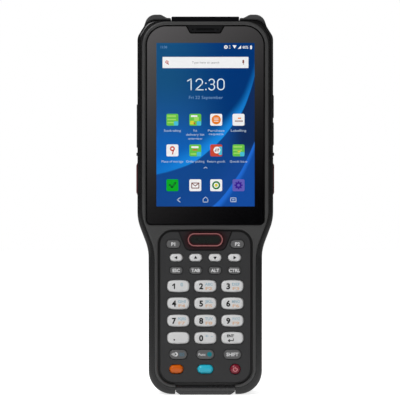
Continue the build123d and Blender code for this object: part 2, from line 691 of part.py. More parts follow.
    # sound holes of the loudspeaker, camera and lamp holes and the seat of their window
    with BuildSketch(facing(HANDLE_BACK)):
        with Locations((0, SPEAKER_Z)):
            with GridLocations(GRILLE_PITCH, GRILLE_PITCH, GRILLE_COLUMNS, GRILLE_ROWS):
                Circle(GRILLE_HOLE)
        with Locations((CAMERA_X, CAMERA_Z)):
            Circle(CAMERA_BARREL + CAMERA_HOLE_GAP)
        with Locations((LAMP_X, CAMERA_Z)):
            Circle(LAMP_RADIUS + CAMERA_HOLE_GAP)
    extrude(amount=HANDLE_BACK - COMPARTMENT_FRONT, mode=Mode.SUBTRACT)
    with BuildSketch(facing(HANDLE_BACK)):
        with Locations((0, CAMERA_Z)):
            SlotOverall(
                CAMERA_WINDOW_WIDTH + 2 * CAMERA_WINDOW_GAP, CAMERA_WINDOW_HEIGHT + 2 * CAMERA_WINDOW_GAP
            )
    extrude(amount=HANDLE_BACK - CAMERA_WINDOW_FRONT, mode=Mode.SUBTRACT)
    # seat of the scan window frame and the opening that the engine looks through
    with BuildSketch(level(NOTCH_FLOOR)):
        Rectangle(2 * (TOP_FRAME_HALF + TOP_GAP), 2 * (HANDLE_BACK - FRONT))
    extrude(amount=BODY_TOP - NOTCH_FLOOR + TOP_GAP, mode=Mode.SUBTRACT)
    with BuildSketch(level(NOTCH_FLOOR)):
        with Locations((0, WINDOW_Y)):
            Rectangle(TOP_OPENING_WIDTH, TOP_OPENING_DEPTH)
    extrude(amount=-2 * WALL, mode=Mode.SUBTRACT)
    # seat of the dock block
    with BuildSketch(facing(DOCK_BACK + DOCK_GAP)):
        Rectangle(2 * (DOCK_HALF + DOCK_GAP), 2 * DOCK_BASE)
    extrude(amount=DOCK_BACK + DOCK_GAP - FRONT, mode=Mode.SUBTRACT)
    with BuildSketch(facing(DOCK_LIP_BACK)):
        Rectangle(2 * (DOCK_HALF + DOCK_GAP), 2 * (DOCK_LIP_TOP + DOCK_LIP_FREE))
    extrude(amount=DOCK_LIP_BACK - FRONT, mode=Mode.SUBTRACT)
finish(rear_housing, "rear_housing")


# ------------------------------------------------------------------ front housing
with BuildPart() as front_housing:
    with BuildSketch(facing(RIM_BACK)):
        add(rim_outline())
    extrude(amount=RIM_BACK - FRONT)
    fillet(front_housing.faces().sort_by(Axis.Y)[0].edges(), radius=RIM_EDGE)
    # pocket of the glass and of the earpiece cover in its notch
    with BuildSketch(facing(GLASS_FRONT)):
        offset(glass_outline(), amount=GLASS_GAP)
    extrude(amount=GLASS_SETBACK, taper=-LIP_SLOPE, mode=Mode.SUBTRACT)
    with BuildSketch(facing(GLASS_BACK)):
        offset(glass_outline(), amount=GLASS_GAP)
    extrude(amount=GLASS_THICKNESS, mode=Mode.SUBTRACT)
    # window of the liquid crystal panel and the hollow behind the glass seat
    with BuildSketch(facing(RIM_BACK)):
        with Locations((0, (LCD_BOTTOM + LCD_TOP) / 2)):
            Rectangle(LCD_WIDTH + 2 * LCD_GAP, LCD_TOP - LCD_BOTTOM + 2 * LCD_GAP)
    extrude(amount=RIM_BACK - GLASS_BACK, mode=Mode.SUBTRACT)
    with BuildSketch(facing(RIM_BACK)):
        offset(rim_outline(), amount=-RIM_WALL)
        Rectangle(2 * HEAD_HALF, 2 * (GLASS_BOTTOM + RIM_WIDTH), mode=Mode.SUBTRACT)
    extrude(amount=RIM_BACK - SEAT_BACK, mode=Mode.SUBTRACT)
    # pocket of the keypad panel, and the opening behind it for the key flanges, mat and board
    with BuildSketch(facing(PANEL_BACK)):
        offset(panel_outline(), amount=PANEL_GAP)
    extrude(amount=PANEL_THICKNESS + PANEL_SETBACK - GLASS_SETBACK, mode=Mode.SUBTRACT)
    with BuildSketch(facing(GLASS_FRONT)):
        offset(panel_outline(), amount=PANEL_GAP)
    extrude(amount=GLASS_SETBACK, taper=-LIP_SLOPE, mode=Mode.SUBTRACT)
    with BuildSketch(facing(RIM_BACK)):
        offset(panel_outline(), amount=-PANEL_LEDGE)
    extrude(amount=RIM_BACK - PANEL_BACK, mode=Mode.SUBTRACT)
    # bosses and the holes that the screws bite into
    with BuildSketch(facing(MAIN_BOARD_FRONT)):
        with Locations(*HEAD_SCREWS):
            Circle(BOSS_RADIUS)
    extrude(amount=MAIN_BOARD_FRONT - SEAT_BACK)
    for places, bite in SCREW_GROUPS:
        with BuildSketch(facing(bite)):
            with Locations(*places):
                Circle(SCREW_RADIUS)
        extrude(amount=SCREW_GRIP + SCREW_TIP_FREE, mode=Mode.SUBTRACT)
    # opening of the earpiece
    with BuildSketch(facing(SEAT_BACK)):
        with Locations((0, EARPIECE_Z)):
            RectangleRounded(
                EARPIECE_BODY + 2 * GLASS_GAP,
                EARPIECE_BODY_HEIGHT + 2 * GLASS_GAP,
                EARPIECE_CORNER + GLASS_GAP,
            )
    extrude(amount=SEAT_THICKNESS, mode=Mode.SUBTRACT)
    # room for the dock block's lip
    with BuildSketch(facing(DOCK_LIP_BACK)):
        Rectangle(2 * (DOCK_HALF + DOCK_GAP), 2 * (DOCK_LIP_TOP + DOCK_LIP_FREE))
    extrude(amount=DOCK_LIP_BACK - FRONT, mode=Mode.SUBTRACT)
finish(front_housing, "front_housing")


# ------------------------------------------------------------------ gasket
with BuildPart() as housing_gasket:
    with BuildSketch(facing(LEDGE_FRONT)):
        offset(rim_outline(), amount=-GASKET_INSET)
        offset(rim_outline(), amount=-GASKET_INSET - GASKET_WIDTH, mode=Mode.SUBTRACT)
        with Locations(*HANDLE_SCREWS):
            Circle(GASKET_PAD)
            Circle(SCREW_RADIUS + SCREW_CLEARANCE, mode=Mode.SUBTRACT)
        add(grown(rim_outline(), -GASKET_INSET), mode=Mode.INTERSECT)
    extrude(amount=GASKET)
finish(housing_gasket, "housing_gasket")


# ------------------------------------------------------------------ glass, LCD, earpiece
with BuildPart() as display_glass:
    with BuildSketch(facing(GLASS_BACK)):
        add(glass_outline())
        add(notch_outline(), mode=Mode.SUBTRACT)
    extrude(amount=GLASS_THICKNESS)
    chamfer(display_glass.faces().sort_by(Axis.Y)[0].edges(), length=GLASS_EDGE)
finish(display_glass, "display_glass")

with BuildPart() as lcd_panel:
    with BuildSketch(facing(GLASS_BACK + LCD_THICKNESS)):
        with Locations((0, (LCD_BOTTOM + LCD_TOP) / 2)):
            Rectangle(LCD_WIDTH, LCD_TOP - LCD_BOTTOM)
    extrude(amount=LCD_THICKNESS)
finish(lcd_panel, "lcd_panel")

with BuildPart() as earpiece:
    with BuildSketch(facing(SEAT_BACK + EARPIECE_BODY_DEPTH)):
        with Locations((0, EARPIECE_Z)):
            RectangleRounded(EARPIECE_BODY, EARPIECE_BODY_HEIGHT, EARPIECE_CORNER)
    extrude(amount=SEAT_BACK + EARPIECE_BODY_DEPTH - GLASS_BACK)
    # cover that fills the notch, with a slot and a small hole on each side of it
    with BuildSketch(facing(GLASS_BACK)):
        add(glass_outline())
        add(grown(notch_outline(), -GLASS_GAP), mode=Mode.INTERSECT)
    extrude(amount=GLASS_THICKNESS - EARPIECE_SETBACK)
    with BuildSketch(facing(GLASS_FRONT + EARPIECE_SETBACK)):
        with Locations((0, EARPIECE_Z)):
            SlotOverall(EARPIECE_SLOT, EARPIECE_SLOT_HEIGHT)
        with Locations((-SENSOR_OFFSET, EARPIECE_Z), (SENSOR_OFFSET, EARPIECE_Z)):
            Circle(SENSOR_RADIUS)
    extrude(amount=-EARPIECE_SLOT_DEPTH, mode=Mode.SUBTRACT)
finish(earpiece, "earpiece")


# ------------------------------------------------------------------ keys
def stadium(size):
    """A key with round ends."""
    with BuildSketch() as shape:
        SlotOverall(*size)
    return shape.sketch


def barrel(size):
    """A digit key: all four sides bulge a little between rounded corners."""
    half_width = size[0] / 2
    half_height = size[1] / 2
    with BuildSketch() as shape:
        with BuildLine():
            corners = [
                (side_x * (half_width - DIGIT_BULGE), side_z * (half_height - DIGIT_BULGE))
                for side_x, side_z in ((-1, -1), (1, -1), (1, 1), (-1, 1))
            ]
            middles = [(0, -half_height), (half_width, 0), (0, half_height), (-half_width, 0)]
            for index, middle in enumerate(middles):
                ThreePointArc(corners[index], middle, corners[(index + 1) % len(corners)])
        make_face()
        fillet(shape.vertices(), radius=DIGIT_CORNER)
    return shape.sketch


def row(names, pitch, height, key_shape, rise):
    """Keys side by side in a row that is centred on the keypad."""
    first = -pitch * (len(names) - 1) / 2
    return [(name, first + index * pitch, height, key_shape, rise) for index, name in enumerate(names)]


arrow_shape = stadium(ARROW_KEY)
control_shape = stadium(CONTROL_KEY)
digit_shape = barrel(DIGIT_KEY)
function_shape = stadium(FUNCTION_KEY)
program_shape = stadium(PROGRAM_KEY)

KEYS = [
    ("key_p1", -PROGRAM_KEY_X, PROGRAM_KEY_Z, program_shape, DARK_KEY_RISE),
    ("key_p2", PROGRAM_KEY_X, PROGRAM_KEY_Z, program_shape, DARK_KEY_RISE),
]
KEYS += row(
    ("key_left", "key_up", "key_down", "key_right"), ARROW_PITCH, ARROW_ROW, arrow_shape, LIGHT_KEY_RISE
)
KEYS += row(
    ("key_esc", "key_tab", "key_alt", "key_ctrl"), ARROW_PITCH, CONTROL_ROW, control_shape, DARK_KEY_RISE
)
for line, names in enumerate(
    (
        ("key_1", "key_2", "key_3"),
        ("key_4", "key_5", "key_6"),
        ("key_7", "key_8", "key_9"),
        ("key_point", "key_0", "key_enter"),
    )
):
    KEYS += row(names, DIGIT_PITCH_X, DIGIT_TOP_ROW - line * DIGIT_PITCH_Z, digit_shape, LIGHT_KEY_RISE)
KEYS += row(
    ("key_back", "key_function", "key_shift"), DIGIT_PITCH_X, FUNCTION_ROW, function_shape, DARK_KEY_RISE
)
KEYS += [
    ("key_orange", ORANGE_KEY_X, COLOUR_ROW, stadium(ORANGE_KEY), COLOUR_KEY_RISE),
    ("key_blue", 0, COLOUR_ROW, stadium(BLUE_KEY), COLOUR_KEY_RISE),
    ("key_power", POWER_KEY_X, COLOUR_ROW, stadium(POWER_KEY), COLOUR_KEY_RISE),
]


def key_body(x, z, key_shape, rise, edge):
    """A cap through the panel with a flange behind it that keeps it in."""
    with BuildPart() as key:
        with BuildSketch(facing(PANEL_BACK)):
            with Locations((x, z)):
                add(key_shape)
        extrude(amount=PANEL_BACK - PANEL_FRONT + rise)
        fillet(key.faces().sort_by(Axis.Y)[0].edges(), radius=edge)
        with BuildSketch(facing(FLANGE_BACK)):
            with Locations((x, z)):
                add(grown(key_shape, KEY_GAP + KEY_FLANGE))
            add(grown(panel_outline(), -PANEL_LEDGE - KEY_GAP), mode=Mode.INTERSECT)
        extrude(amount=KEY_FLANGE_THICKNESS)
    return key.part


EDGE_OF_RISE = {
    DARK_KEY_RISE: DARK_KEY_EDGE,
    LIGHT_KEY_RISE: KEY_EDGE,
    COLOUR_KEY_RISE: COLOUR_KEY_EDGE,
}
for name, x, z, key_shape, rise in KEYS:
    with BuildPart() as plain_key:
        add(key_body(x, z, key_shape, rise, EDGE_OF_RISE[rise]))
    finish(plain_key, name)

with BuildPart() as key_scan:
    scan_shape = stadium(SCAN_KEY)
    scan_front = PANEL_FRONT - LIGHT_KEY_RISE
    add(key_body(0, SCAN_KEY_Z, scan_shape, LIGHT_KEY_RISE, SCAN_GUIDE_INSET))
    with BuildSketch(facing(scan_front)):
        with Locations((0, SCAN_KEY_Z)):
            add(grown(scan_shape, -SCAN_GUIDE_INSET))
            add(grown(scan_shape, -SCAN_GUIDE_INSET - SCAN_GUIDE_WIDTH), mode=Mode.SUBTRACT)
    extrude(amount=SCAN_GUIDE_RISE)
    fillet(key_scan.faces().sort_by(Axis.Y)[0].edges(), radius=SCAN_GUIDE_ROUND)
    with BuildSketch(facing(scan_front)):
        with Locations((0, SCAN_KEY_Z)):
            add(grown(scan_shape, -SCAN_DISH_INSET))
    extrude(amount=-SCAN_DISH_DEPTH, taper=LIP_SLOPE, mode=Mode.SUBTRACT)
finish(key_scan, "key_scan")


# ------------------------------------------------------------------ keypad panel and what is behind it
with BuildPart() as keypad_panel:
    with BuildSketch(facing(PANEL_BACK)):
        add(panel_outline())
    extrude(amount=PANEL_THICKNESS)
    chamfer(keypad_panel.faces().sort_by(Axis.Y)[0].edges(), length=PANEL_EDGE)
    with BuildSketch(facing(POD_BACK)):
        offset(pod_outline(PANEL_TOP + RIM_WIDTH), amount=POD_GAP)
    extrude(amount=PANEL_THICKNESS, mode=Mode.SUBTRACT)
    with BuildSketch(facing(PANEL_BACK)):
        with Locations((0, SCAN_KEY_Z)):
            add(grown(scan_shape, KEY_GAP))
    extrude(amount=PANEL_THICKNESS, mode=Mode.SUBTRACT)
    for name, x, z, key_shape, rise in KEYS:
        with BuildSketch(facing(PANEL_BACK)):
            with Locations((x, z)):
                add(grown(key_shape, KEY_GAP))
        extrude(amount=PANEL_THICKNESS, mode=Mode.SUBTRACT)
finish(keypad_panel, "keypad_panel")

with BuildPart() as scan_key_bezel:
    with BuildSketch(facing(POD_BACK)):
        add(pod_outline(PANEL_TOP))
        with Locations((0, SCAN_KEY_Z)):
            add(grown(scan_shape, KEY_GAP), mode=Mode.SUBTRACT)
    extrude(amount=POD_PLATE)
finish(scan_key_bezel, "scan_key_bezel")

with BuildPart() as key_mat:
    with BuildSketch(facing(MAT_BACK)):
        offset(panel_outline(), amount=-PANEL_LEDGE - BOARD_GAP)
    extrude(amount=MAT_THICKNESS)
finish(key_mat, "key_mat")

with BuildPart() as keypad_board:
    with BuildSketch(facing(RIM_BACK)):
        offset(panel_outline(), amount=-PANEL_LEDGE - BOARD_GAP)
    extrude(amount=BOARD_THICKNESS)
finish(keypad_board, "keypad_board")


# ------------------------------------------------------------------ corner guards
with BuildPart() as corner_guard_right:
    with BuildSketch(facing(GUARD_BACK)):
        with BuildLine():
            FilletPolyline(
                (TOP_FRAME_HALF + TOP_GAP + GUARD_GAP, GUARD_INNER_Z),
                (TOP_FRAME_HALF + TOP_GAP + GUARD_GAP, GUARD_STEP_TOP),
                (TOP_FRAME_HALF + GUARD_STEP_WIDTH, GUARD_STEP_TOP),
                (TOP_FRAME_HALF + GUARD_LOBE_WIDTH, GUARD_TOP),
                (CROWN_HALF - GUARD_CROWN_INSET, GUARD_TOP),
                (GUARD_NECK_HALF, BODY_TOP - GUARD_NECK_DROP),
                (GUARD_NECK_HALF - WALL, GUARD_INNER_Z),
                radius=[0, GUARD_EDGE, GUARD_STEP_RADIUS, GUARD_LOBE_RADIUS, GUARD_CROWN_RADIUS, 0, 0],
                close=True,
            )
        make_face()
    extrude(amount=GUARD_BACK - GUARD_FRONT)
    chamfer(corner_guard_right.faces().sort_by(Axis.Y)[0].edges(), length=GUARD_BEVEL)
    chamfer(corner_guard_right.faces().sort_by(Axis.Y)[-1].edges(), length=GUARD_BEVEL)
    with BuildSketch(facing(GUARD_FRONT + GUARD_LINE_DEPTH)):
        add(grown(casing_outline(), GUARD_LINE))
    extrude(amount=GUARD_LINE_DEPTH, mode=Mode.SUBTRACT)
    add(casing_block, mode=Mode.SUBTRACT)
finish(corner_guard_right, "corner_guard_right")

with BuildPart() as corner_guard_left:
    mirror(corner_guard_right.part, about=Plane.YZ)
finish(corner_guard_left, "corner_guard_left")


# ------------------------------------------------------------------ top end: frame, window, engine
with BuildPart() as scan_window_frame:
    with BuildSketch(level(NOTCH_FLOOR)):
        with Locations((0, (TOP_FRAME_FRONT + TOP_FRAME_BACK) / 2)):
            Rectangle(2 * TOP_FRAME_HALF, TOP_FRAME_BACK - TOP_FRAME_FRONT)
    extrude(amount=TOP_FRAME_TOP - NOTCH_FLOOR)
    fillet(scan_window_frame.faces().sort_by(Axis.Z)[-1].edges(), radius=TOP_FRAME_EDGE)
    with BuildSketch(level(NOTCH_FLOOR)):
        with Locations((0, WINDOW_Y)):
            Rectangle(TOP_OPENING_WIDTH, TOP_OPENING_DEPTH)
    extrude(amount=TOP_FRAME_TOP - NOTCH_FLOOR, mode=Mode.SUBTRACT)
    with BuildSketch(level(WINDOW_SEAT)):
        with Locations((0, WINDOW_Y)):
            Rectangle(WINDOW_WIDTH + 2 * GLASS_GAP, WINDOW_DEPTH + 2 * GLASS_GAP)
    extrude(amount=TOP_FRAME_TOP - WINDOW_SEAT, mode=Mode.SUBTRACT)
finish(scan_window_frame, "scan_window_frame")

with BuildPart() as scan_window:
    with BuildSketch(level(WINDOW_SEAT)):
        with Locations((0, WINDOW_Y)):
            Rectangle(WINDOW_WIDTH, WINDOW_DEPTH)
    extrude(amount=WINDOW_THICKNESS)
finish(scan_window, "scan_window")

with BuildPart() as scan_engine:
    with BuildSketch(level(ENGINE_LOW)):
        with Locations((0, HEAD_INNER_BACK - ENGINE_DEPTH / 2)):
            RectangleRounded(ENGINE_WIDTH, ENGINE_DEPTH, ENGINE_CORNER)
    extrude(amount=ENGINE_HEIGHT)
    with BuildSketch(level(ENGINE_LOW + ENGINE_HEIGHT)):
        with Locations((-ENGINE_LENS_X, WINDOW_Y), (ENGINE_LENS_X, WINDOW_Y)):
            Circle(ENGINE_LENS_RADIUS)
    extrude(amount=ENGINE_LENS_RISE)
finish(scan_engine, "scan_engine")


# ------------------------------------------------------------------ dock block and contacts
with BuildPart() as dock_block:
    with BuildSketch(facing(DOCK_BACK)):
        with BuildLine():
            Polyline(
                (-DOCK_FOOT_HALF, 0),
                (DOCK_FOOT_HALF, 0),
                (DOCK_HALF, DOCK_END_CHAMFER_HEIGHT),
                (DOCK_HALF, DOCK_BASE),
                (-DOCK_HALF, DOCK_BASE),
                (-DOCK_HALF, DOCK_END_CHAMFER_HEIGHT),
                close=True,
            )
        make_face()
    extrude(amount=DOCK_BACK - DOCK_FRONT - DOCK_STEP)
    fillet(dock_block.faces().sort_by(Axis.Y)[-1].edges().sort_by(Axis.Z)[0], radius=DOCK_BACK_EDGE)
    fillet(dock_block.faces().sort_by(Axis.Y)[0].edges().sort_by(Axis.Z)[0], radius=DOCK_FRONT_EDGE)
    with BuildSketch(facing(DOCK_LIP_BACK)):
        with Locations((0, (DOCK_LIP_LOW + DOCK_LIP_TOP) / 2)):
            Rectangle(2 * DOCK_HALF, DOCK_LIP_TOP - DOCK_LIP_LOW)
    extrude(amount=DOCK_LIP_DEPTH)
    front_face = dock_block.faces().filter_by(Axis.Y).sort_by(Axis.Y)[0]
    fillet(front_face.edges().filter_by(Axis.X), radius=DOCK_LIP_EDGE)
    with BuildSketch(level(0)):
        with Locations((0, CONTACT_Y)):
            with GridLocations(CONTACT_PITCH, CONTACT_PITCH, CONTACT_COUNT, 1):
                Rectangle(CONTACT_SIZE, CONTACT_SIZE)
    extrude(amount=CONTACT_RECESS + CONTACT_THICKNESS, mode=Mode.SUBTRACT)
finish(dock_block, "dock_block")

with BuildPart() as dock_contacts:
    with BuildSketch(level(CONTACT_RECESS)):
        with Locations((0, CONTACT_Y)):
            with GridLocations(CONTACT_PITCH, CONTACT_PITCH, CONTACT_COUNT, 1):
                Rectangle(CONTACT_SIZE, CONTACT_SIZE)
    extrude(amount=CONTACT_THICKNESS)
finish(dock_contacts, "dock_contacts")


# ------------------------------------------------------------------ side keys and volume rocker
with BuildPart() as side_key_right:
    with BuildSketch(facing(SIDE_KEY_Y + SIDE_KEY_WIDTH / 2)):
        with BuildLine():
            Polyline(
                (INNER_SIDE, SIDE_KEY_LOW),
                (HEAD_HALF, SIDE_KEY_LOW),
                (HEAD_HALF + SIDE_KEY_PROUD, SIDE_KEY_LOW + SIDE_KEY_TAPER),
                (HEAD_HALF + SIDE_KEY_PROUD, SIDE_KEY_HIGH - SIDE_KEY_TAPER),
                (HEAD_HALF, SIDE_KEY_HIGH),
                (INNER_SIDE, SIDE_KEY_HIGH),
                close=True,
            )
        make_face()
    extrude(amount=SIDE_KEY_WIDTH)
    fillet(side_key_right.faces().sort_by(Axis.X)[-1].edges().filter_by(Axis.Z), radius=SIDE_KEY_EDGE)
    with BuildSketch(Plane.YZ.offset(INNER_SIDE - SIDE_KEY_FLANGE_THICKNESS)):
        with Locations((SIDE_KEY_Y, SIDE_KEY_MIDDLE)):
            Rectangle(SIDE_KEY_WIDTH + 2 * SIDE_KEY_FLANGE, SIDE_KEY_LENGTH + 2 * SIDE_KEY_FLANGE)
    extrude(amount=SIDE_KEY_FLANGE_THICKNESS)
finish(side_key_right, "side_key_right")

with BuildPart() as side_key_left:
    mirror(side_key_right.part, about=Plane.YZ)
finish(side_key_left, "side_key_left")

with BuildPart() as volume_rocker:
    with BuildSketch(facing(ROCKER_Y + ROCKER_WIDTH / 2)):
        with BuildLine():
            Polyline(
                (HEAD_HALF - ROCKER_BACK, ROCKER_LOW),
                (HEAD_HALF, ROCKER_LOW),
                (HEAD_HALF + ROCKER_PROUD, ROCKER_LOW + ROCKER_DISH),
                (HEAD_HALF + ROCKER_PROUD, ROCKER_MIDDLE - ROCKER_DIP),
                (HEAD_HALF - ROCKER_PROUD / 2, ROCKER_MIDDLE),
                (HEAD_HALF + ROCKER_PROUD, ROCKER_MIDDLE + ROCKER_DIP),
                (HEAD_HALF + ROCKER_PROUD, ROCKER_HIGH - ROCKER_DISH),
                (HEAD_HALF, ROCKER_HIGH),
                (HEAD_HALF - ROCKER_BACK, ROCKER_HIGH),
                close=True,
            )
        make_face()
    extrude(amount=ROCKER_WIDTH)
    with BuildSketch(facing(ROCKER_Y + TRUNNION_HALF)):
        with Locations((ROCKER_AXIS_X, ROCKER_MIDDLE)):
            Circle(TRUNNION_RADIUS)
    extrude(amount=2 * TRUNNION_HALF)
finish(volume_rocker, "volume_rocker")


# ------------------------------------------------------------------ port lid, pin and socket
with BuildPart() as port_lid:
    with BuildSketch(level(LID_LOW)):
        with Locations(((LID_OUTER_X + LID_INNER_X) / 2, (LID_FRONT + LID_HINGE_Y) / 2)):
            Rectangle(LID_INNER_X - LID_OUTER_X, LID_HINGE_Y - LID_FRONT)
        with Locations((LID_AXIS_X, LID_HINGE_Y)):
            Circle(KNUCKLE_RADIUS)
            Circle(PIN_RADIUS + PIN_BORE_GAP, mode=Mode.SUBTRACT)
    extrude(amount=LID_LENGTH)
    outer_face = port_lid.faces().filter_by(Axis.X).sort_by(Axis.X)[0]
    fillet(outer_face.edges().filter_by(Axis.Z).sort_by(Axis.Y)[0], radius=LID_EDGE)
    with BuildSketch(Plane.YZ.offset(LID_INNER_X)):
        with Locations((PORT_Y, PORT_Z)):
            RectangleRounded(
                PORT_HEIGHT + 2 * LID_PLUG_GROW,
                PORT_WIDTH + 2 * LID_PLUG_GROW,
                LID_PLUG_CORNER,
            )
    extrude(amount=LID_PLUG_DEPTH)
finish(port_lid, "port_lid")

with BuildPart() as port_lid_pin:
    with BuildSketch(level(LID_LOW - LID_GAP - PIN_END)):
        with Locations((LID_AXIS_X, LID_HINGE_Y)):
            Circle(PIN_RADIUS)
    extrude(amount=LID_LENGTH + 2 * (LID_GAP + PIN_END))
finish(port_lid_pin, "port_lid_pin")

with BuildPart() as usb_socket:
    with BuildSketch(Plane.YZ.offset(PORT_MOUTH_X)):
        with Locations((PORT_Y, PORT_Z)):
            RectangleRounded(PORT_HEIGHT, PORT_WIDTH, PORT_HEIGHT / 2 - PORT_WALL)
    extrude(amount=PORT_DEPTH)
    with BuildSketch(Plane.YZ.offset(PORT_MOUTH_X)):
        with Locations((PORT_Y, PORT_Z)):
            RectangleRounded(
                PORT_HEIGHT - 2 * PORT_WALL, PORT_WIDTH - 2 * PORT_WALL, PORT_HEIGHT / 2 - 2 * PORT_WALL
            )
            Rectangle(PORT_TONGUE, PORT_TONGUE_WIDTH, mode=Mode.SUBTRACT)
    extrude(amount=PORT_DEPTH - PORT_TONGUE, mode=Mode.SUBTRACT)
finish(usb_socket, "usb_socket")


# ------------------------------------------------------------------ main board
with BuildPart() as main_board:
    with BuildSketch(facing(MAIN_BOARD_BACK)):
        with Locations((0, MAIN_BOARD_MIDDLE)):
            RectangleRounded(2 * MAIN_BOARD_HALF, MAIN_BOARD_HIGH - MAIN_BOARD_LOW, MAIN_BOARD_CORNER)
        with Locations(*HEAD_SCREWS):
            Circle(SCREW_RADIUS + SCREW_CLEARANCE, mode=Mode.SUBTRACT)
    extrude(amount=BOARD_THICKNESS)
    with BuildSketch(facing(MAIN_BOARD_BACK + CAN_HEIGHT)):
        for x, z, width, height in CANS:
            with Locations((x, MAIN_BOARD_MIDDLE + z)):
                RectangleRounded(width, height, CAN_CORNER)
    extrude(amount=CAN_HEIGHT)
finish(main_board, "main_board")


# ------------------------------------------------------------------ loudspeaker and camera
with BuildPart() as loudspeaker:
    with BuildSketch(facing(HEAD_INNER_BACK)):
        with Locations((0, SPEAKER_Z)):
            RectangleRounded(SPEAKER_WIDTH, SPEAKER_HEIGHT, SPEAKER_CORNER)
    extrude(amount=SPEAKER_DEPTH)
finish(loudspeaker, "loudspeaker")

with BuildPart() as camera_module:
    with BuildSketch(facing(HEAD_INNER_BACK)):
        with Locations(((CAMERA_X + LAMP_X) / 2, CAMERA_Z)):
            Rectangle(LAMP_X - CAMERA_X + CAMERA_BLOCK, CAMERA_BLOCK)
    extrude(amount=CAMERA_FLEX)
    with BuildSketch(facing(HEAD_INNER_BACK)):
        with Locations((CAMERA_X, CAMERA_Z)):
            Rectangle(CAMERA_BLOCK, CAMERA_BLOCK)
    extrude(amount=CAMERA_BLOCK_DEPTH)
    with BuildSketch(facing(CAMERA_WINDOW_FRONT - CAMERA_FREE)):
        with Locations((CAMERA_X, CAMERA_Z)):
            Circle(CAMERA_BARREL)
        with Locations((LAMP_X, CAMERA_Z)):
            Circle(LAMP_RADIUS)
    extrude(amount=CAMERA_WINDOW_FRONT - CAMERA_FREE - HEAD_INNER_BACK)
finish(camera_module, "camera_module")

with BuildPart() as camera_window:
    with BuildSketch(facing(CAMERA_WINDOW_FRONT + CAMERA_WINDOW_THICKNESS)):
        with Locations((0, CAMERA_Z)):
            SlotOverall(CAMERA_WINDOW_WIDTH, CAMERA_WINDOW_HEIGHT)
    extrude(amount=CAMERA_WINDOW_THICKNESS)
finish(camera_window, "camera_window")


# ------------------------------------------------------------------ battery, door and latch
with BuildPart() as battery:
    with BuildSketch(facing(BATTERY_BACK)):
        with Locations((0, (BATTERY_LOW + BATTERY_HIGH) / 2)):
            RectangleRounded(2 * BATTERY_HALF, BATTERY_HIGH - BATTERY_LOW, BATTERY_EDGE)
    extrude(amount=BATTERY_BACK - COMPARTMENT_FRONT - COMPARTMENT_FLOOR)
finish(battery, "battery")

with BuildPart() as battery_door:
    with BuildSketch(facing(HANDLE_BACK)):
        add(door_outline(0))
    extrude(amount=DOOR_THICKNESS)
    fillet(
        battery_door.faces().filter_by(Axis.Z).sort_by(Axis.Z)[0].edges().filter_by(Axis.X),
        radius=DOOR_THICKNESS / 2 - DOOR_ROUND_FREE,
    )
    with BuildSketch(Plane.YZ.offset(-DOOR_HALF - PINTLE_LENGTH)):
        with Locations((PINTLE_Y, PINTLE_Z)):
            Circle(PINTLE_RADIUS)
    extrude(amount=2 * (DOOR_HALF + PINTLE_LENGTH))
    # undercut slide of the latch, open at the door's top edge
    with BuildSketch(facing(LATCH_FLOOR_Y + LATCH_BASE + LATCH_GAP)):
        with Locations((0, (LATCH_LOW - LATCH_GAP + DOOR_HIGH) / 2)):
            Rectangle(2 * (SLIDE_HALF + LATCH_GAP), DOOR_HIGH - LATCH_LOW + LATCH_GAP)
    extrude(amount=LATCH_BASE + LATCH_GAP, mode=Mode.SUBTRACT)
    with BuildSketch(facing(HANDLE_BACK)):
        with Locations((0, (LATCH_LOW - LATCH_GAP + DOOR_HIGH) / 2)):
            Rectangle(2 * (LATCH_HALF + LATCH_GAP), DOOR_HIGH - LATCH_LOW + LATCH_GAP)
    extrude(amount=LATCH_FLOOR, mode=Mode.SUBTRACT)
finish(battery_door, "battery_door")

with BuildPart() as door_latch:
    with BuildSketch(facing(LATCH_FLOOR_Y + LATCH_BASE)):
        with Locations((0, LATCH_LOW + (LATCH_LENGTH + LATCH_TIP) / 2)):
            Rectangle(2 * SLIDE_HALF, LATCH_LENGTH + LATCH_TIP)
    extrude(amount=LATCH_BASE)
    with BuildSketch(facing(HANDLE_BACK + LATCH_PROUD)):
        with Locations((0, LATCH_LOW + LATCH_LENGTH / 2)):
            Rectangle(2 * LATCH_HALF, LATCH_LENGTH)
    extrude(amount=HANDLE_BACK + LATCH_PROUD - LATCH_FLOOR_Y)
    with BuildSketch(facing(HANDLE_BACK + LATCH_PROUD)):
        with Locations((0, LATCH_LOW + LATCH_LENGTH / 2)):
            with GridLocations(LATCH_RIB_PITCH, LATCH_RIB_PITCH, 1, LATCH_RIB_COUNT):
                Rectangle(2 * LATCH_HALF - LATCH_RIB_PITCH, LATCH_RIB_PITCH / 2)
    extrude(amount=LATCH_PROUD, mode=Mode.SUBTRACT)
finish(door_latch, "door_latch")


# ------------------------------------------------------------------ screws
with BuildPart() as housing_screws:
    for places, bite in SCREW_GROUPS:
        seat = bite + SCREW_REACH
        with BuildSketch(facing(seat)):
            with Locations(*places):
                Circle(SCREW_RADIUS)
        extrude(amount=SCREW_REACH + SCREW_GRIP)
        with BuildSketch(facing(seat + SCREW_HEAD_HEIGHT)):
            with Locations(*places):
                Circle(SCREW_HEAD_RADIUS)
        extrude(amount=SCREW_HEAD_HEIGHT)
        with BuildSketch(facing(seat + SCREW_HEAD_HEIGHT)):
            with Locations(*places):
                RegularPolygon(SCREW_SOCKET, 6)
        extrude(amount=SCREW_SOCKET, mode=Mode.SUBTRACT)
finish(housing_screws, "housing_screws")
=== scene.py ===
import math
import bmesh
import bpy
from mathutils import Matrix, Vector


